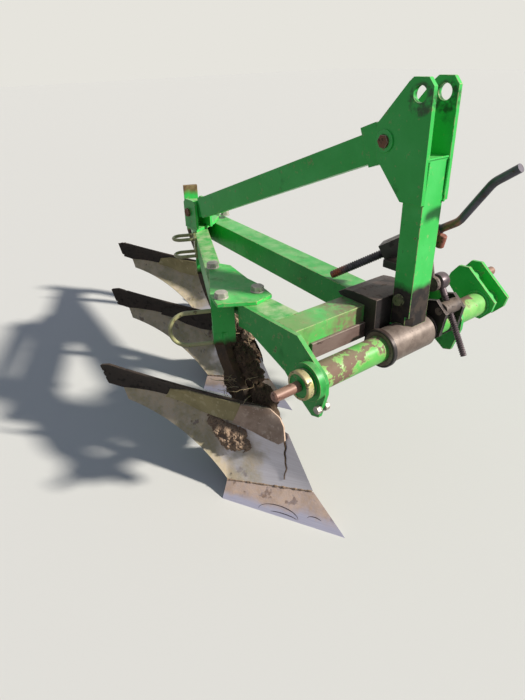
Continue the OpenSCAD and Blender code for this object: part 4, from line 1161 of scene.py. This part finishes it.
def behind_only(part, gap):
    """Moves the points of a clod that would pass through the board to just behind it."""
    points, faces = part
    flat = points.reshape(-1, 3)
    u, v = np.meshgrid(np.linspace(0, 1, 60), np.linspace(0, 1, 40), indexing="ij")
    face, out = on_board(u, v).reshape(-1, 3), board_normal(u, v).reshape(-1, 3)
    near = np.argmin(((flat[:, None] - face[None]) ** 2).sum(-1), axis=1)
    depth = ((flat - face[near]) * out[near]).sum(-1)
    return flat + out[near] * np.maximum(gap - depth, 0.0)[:, None], faces


print("cakes and clods ready")

# %% [markdown]
# ## Where the earth stuck
#
# A cake fills the hollow of the first board, and a larger one covers the front third of the second, its clay
# darkened as painted shade. Clods hang on the first leg, pushed clear of its board and darkened the same way,
# and sit on the second shin.

# %% Cakes and clods in place
ON_LEG_1 = (
    ((-352, 6, 205), (46, 30, 60), 11), ((-395, 16, 255), (62, 36, 46), 12),
    ((-322, 10, 150), (36, 24, 44), 13), ((-455, 14, 215), (50, 30, 60), 14),
    ((-500, 22, 352), (50, 34, 46), 15), ((-470, 24, 310), (58, 36, 46), 16),
    ((-520, 0, 268), (42, 30, 58), 17), ((-478, -6, 190), (40, 28, 52), 18))
ON_SHIN_2 = (
    ((-300, -4, 262), (42, 30, 34), 21), ((-262, -6, 226), (34, 26, 30), 22),
    ((-330, -22, 286), (46, 30, 26), 23))
make_piece("soil_cake_1", cake(0.25, 0.54, 0.25, 0.63, 40.0, 3, 1, 110), clay, sharp=60)
lump = placed([behind_only(clod(*row), 9.0) for row in ON_LEG_1], 1)
make_piece("soil_on_leg_1", lump, clay_dark_painted_shade, sharp=60)
make_piece("soil_cake_2", cake(-0.04, 0.33, 0.10, 1.02, 48.0, 9, 2, 120), clay_dark_painted_shade, sharp=60)
clods = placed([clod(*row) for row in ON_SHIN_2], 2)
make_piece("soil_on_shin_2", clods, clay, sharp=60)

# %% [markdown]
# ## Roots and straw
#
# Couch roots and old straw hang in the soil. A root is a line whose heading wanders: small random
# turns summed along its length, with a droop that grows towards its tip. Hundreds of thin tubes
# would be heavy, so each has only five sides, and all of one place are one piece.

# %% Strands
STEPS, TURN, ROOT_POINTS = 14, 0.26, 40


def strand(start, way, length, droop, seed, thick=1.2):
    """A thin tube along the running sum of steps, whose heading is a sum of small random turns."""
    dice = np.random.default_rng(seed)
    turns = np.cumsum(dice.normal(size=(STEPS, 3)) * TURN, axis=0)
    fall = np.array([0, 0, -droop]) * np.linspace(0, 1, STEPS)[:, None]
    steps = unit(unit(np.asarray(way, float)) + turns + fall) * length / STEPS
    line = np.asarray(start, float) + np.concatenate([[[0, 0, 0]], np.cumsum(steps, 0)])
    return swept(line, np.linspace(thick, thick * 0.5, STEPS + 1), 5)


def tangle(centre, spread, count, seed, length=90.0):
    """Strands that start at random round a centre and leave it in random directions."""
    dice = np.random.default_rng(seed)
    starts = np.asarray(centre, float) + dice.normal(size=(count, 3)) * np.asarray(spread, float)
    ways = dice.normal(size=(count, 3)) * (1.0, 1.0, 0.6) + (0, -0.5, 0.2)
    reach = length * dice.uniform(0.5, 1.2, count)
    return gather([strand(starts[k], ways[k], reach[k], 0.8, seed * 100 + k) for k in range(count)])


roots = placed([tangle((-430, -18, 290), (45, 16, 24), 26, 7)], 1)
make_piece("roots_on_leg_1", roots, straw, sharp=80)
roots = placed([tangle((-300, -30, 240), (50, 20, 36), 30, 8, 70.0)], 2)
make_piece("roots_on_board_2", roots, straw, sharp=80)
u_root = np.interp(np.linspace(0, 1, ROOT_POINTS), [0, 0.4, 0.8, 1], [0.045, 0.075, 0.105, 0.12])
v_root = np.linspace(0.60, 0.09, ROOT_POINTS)
u_root = u_root + 0.003 * np.sin(v_root * 21) + 0.002 * np.sin(v_root * 47 + 1)
root = swept(behind_board(u_root, v_root, 0 * u_root - 1.5), np.linspace(3.0, 1.6, ROOT_POINTS), 8)
make_piece("root_on_board_1", placed([root], 1), clay_dark_painted_shade, sharp=80)

# %% [markdown]
# ## The crust along the seam
#
# Where the mouldboard meets the share a bead of soil fills the joint. It is a tube along the seam
# whose radius is crumbly noise, kept between a thinnest and a thickest in millimetres.

# %% Seam crust
THINNEST, THICKEST = 1.7, 6.0
u_seam = np.linspace(0.006, 0.40, 120)
line = behind_board(u_seam, 0 * u_seam + 0.006, 0 * u_seam + 1.5)
for number in (1, 2, 3):
    size = np.clip(2.6 + 6.0 * lumps(line, 22.0, 70 + number, 5), THINNEST, THICKEST)
    seam = placed([swept(line, size, 10)], number)
    make_piece(f"seam_crust_{number}", seam, clay, sharp=60)

# %% [markdown]
# ## Floor
#
# The plough stands on a plain pale floor. What the camera sees of it is set apart from the light
# it throws back on the plough: a ray that comes from the camera, a gloss or glass meets the pale
# tone, and every other ray meets a darker one, so the undersides keep their own colours.

# %% Floor
FLOOR_HALF = 30.0


def seen_directly(tree):
    """A mask that is 1 for rays from the camera, off a gloss or through glass, and 0 for light."""
    rays = add_node(tree, "ShaderNodeLightPath").outputs
    seen = rays["Is Camera Ray"]
    for kind in ("Is Glossy Ray", "Is Transmission Ray"):
        seen = add_node(tree, "ShaderNodeMath", LARGER, {0: seen, 1: rays[kind]}).outputs[0]
    return seen


floor_mesh = bpy.data.meshes.new("floor")
floor_corners = [(x * FLOOR_HALF, y * FLOOR_HALF, 0) for x, y in ((-1, -1), (1, -1), (1, 1), (-1, 1))]
floor_mesh.from_pydata(floor_corners, [], [(0, 1, 2, 3)])
floor = bpy.data.objects.new("floor", floor_mesh)
bpy.context.scene.collection.objects.link(floor)
floor_finish, floor_tree, floor_shader, _ = new_finish("pale floor")
floor_tone = add_node(floor_tree, "ShaderNodeMix", RGBA, {
    0: seen_directly(floor_tree), 6: "#787874", 7: "#d9d8d4"})
floor_tree.links.new(floor_tone.outputs[2], floor_shader.inputs["Base Color"])
floor_shader.inputs["Roughness"].default_value = 0.9
floor_mesh.materials.append(floor_finish)
print("floor", 2 * FLOOR_HALF, "m wide")

# %% [markdown]
# ## Sun and sky
#
# One sun from the left front gives the photograph's hard shadows, and a weak bluish sky fills
# them. The background is the same mix as the floor: pale where it is seen, and only a fill where
# it lights the plough, so that colours render as they are written.

# %% Sun and sky
SUN_WAY = Vector((-0.68, -0.50, -0.54))
sun = bpy.data.objects.new("sun", bpy.data.lights.new("sun", "SUN"))
sun.data.energy = 5.3
sun.data.angle = math.radians(4.0)
sun.data.color = (1.0, 0.96, 0.88)
sun.rotation_euler = SUN_WAY.to_track_quat("-Z", "Y").to_euler()
bpy.context.scene.collection.objects.link(sun)

world = bpy.data.worlds.new("sky")
bpy.context.scene.world = world
world.use_nodes = True
sky = world.node_tree
sky.nodes.clear()
fill = add_node(sky, "ShaderNodeBackground", {}, {"Color": "#d3e2ff", "Strength": 0.25})
backdrop = add_node(sky, "ShaderNodeBackground", {}, {"Color": "#e6e4dd", "Strength": 1.0})
both = add_node(sky, "ShaderNodeMixShader", {}, {
    0: seen_directly(sky), 1: fill.outputs[0], 2: backdrop.outputs[0]})
add_node(sky, "ShaderNodeOutputWorld", {}, {"Surface": both.outputs[0]})
bpy.context.scene.view_settings.view_transform = "Standard"
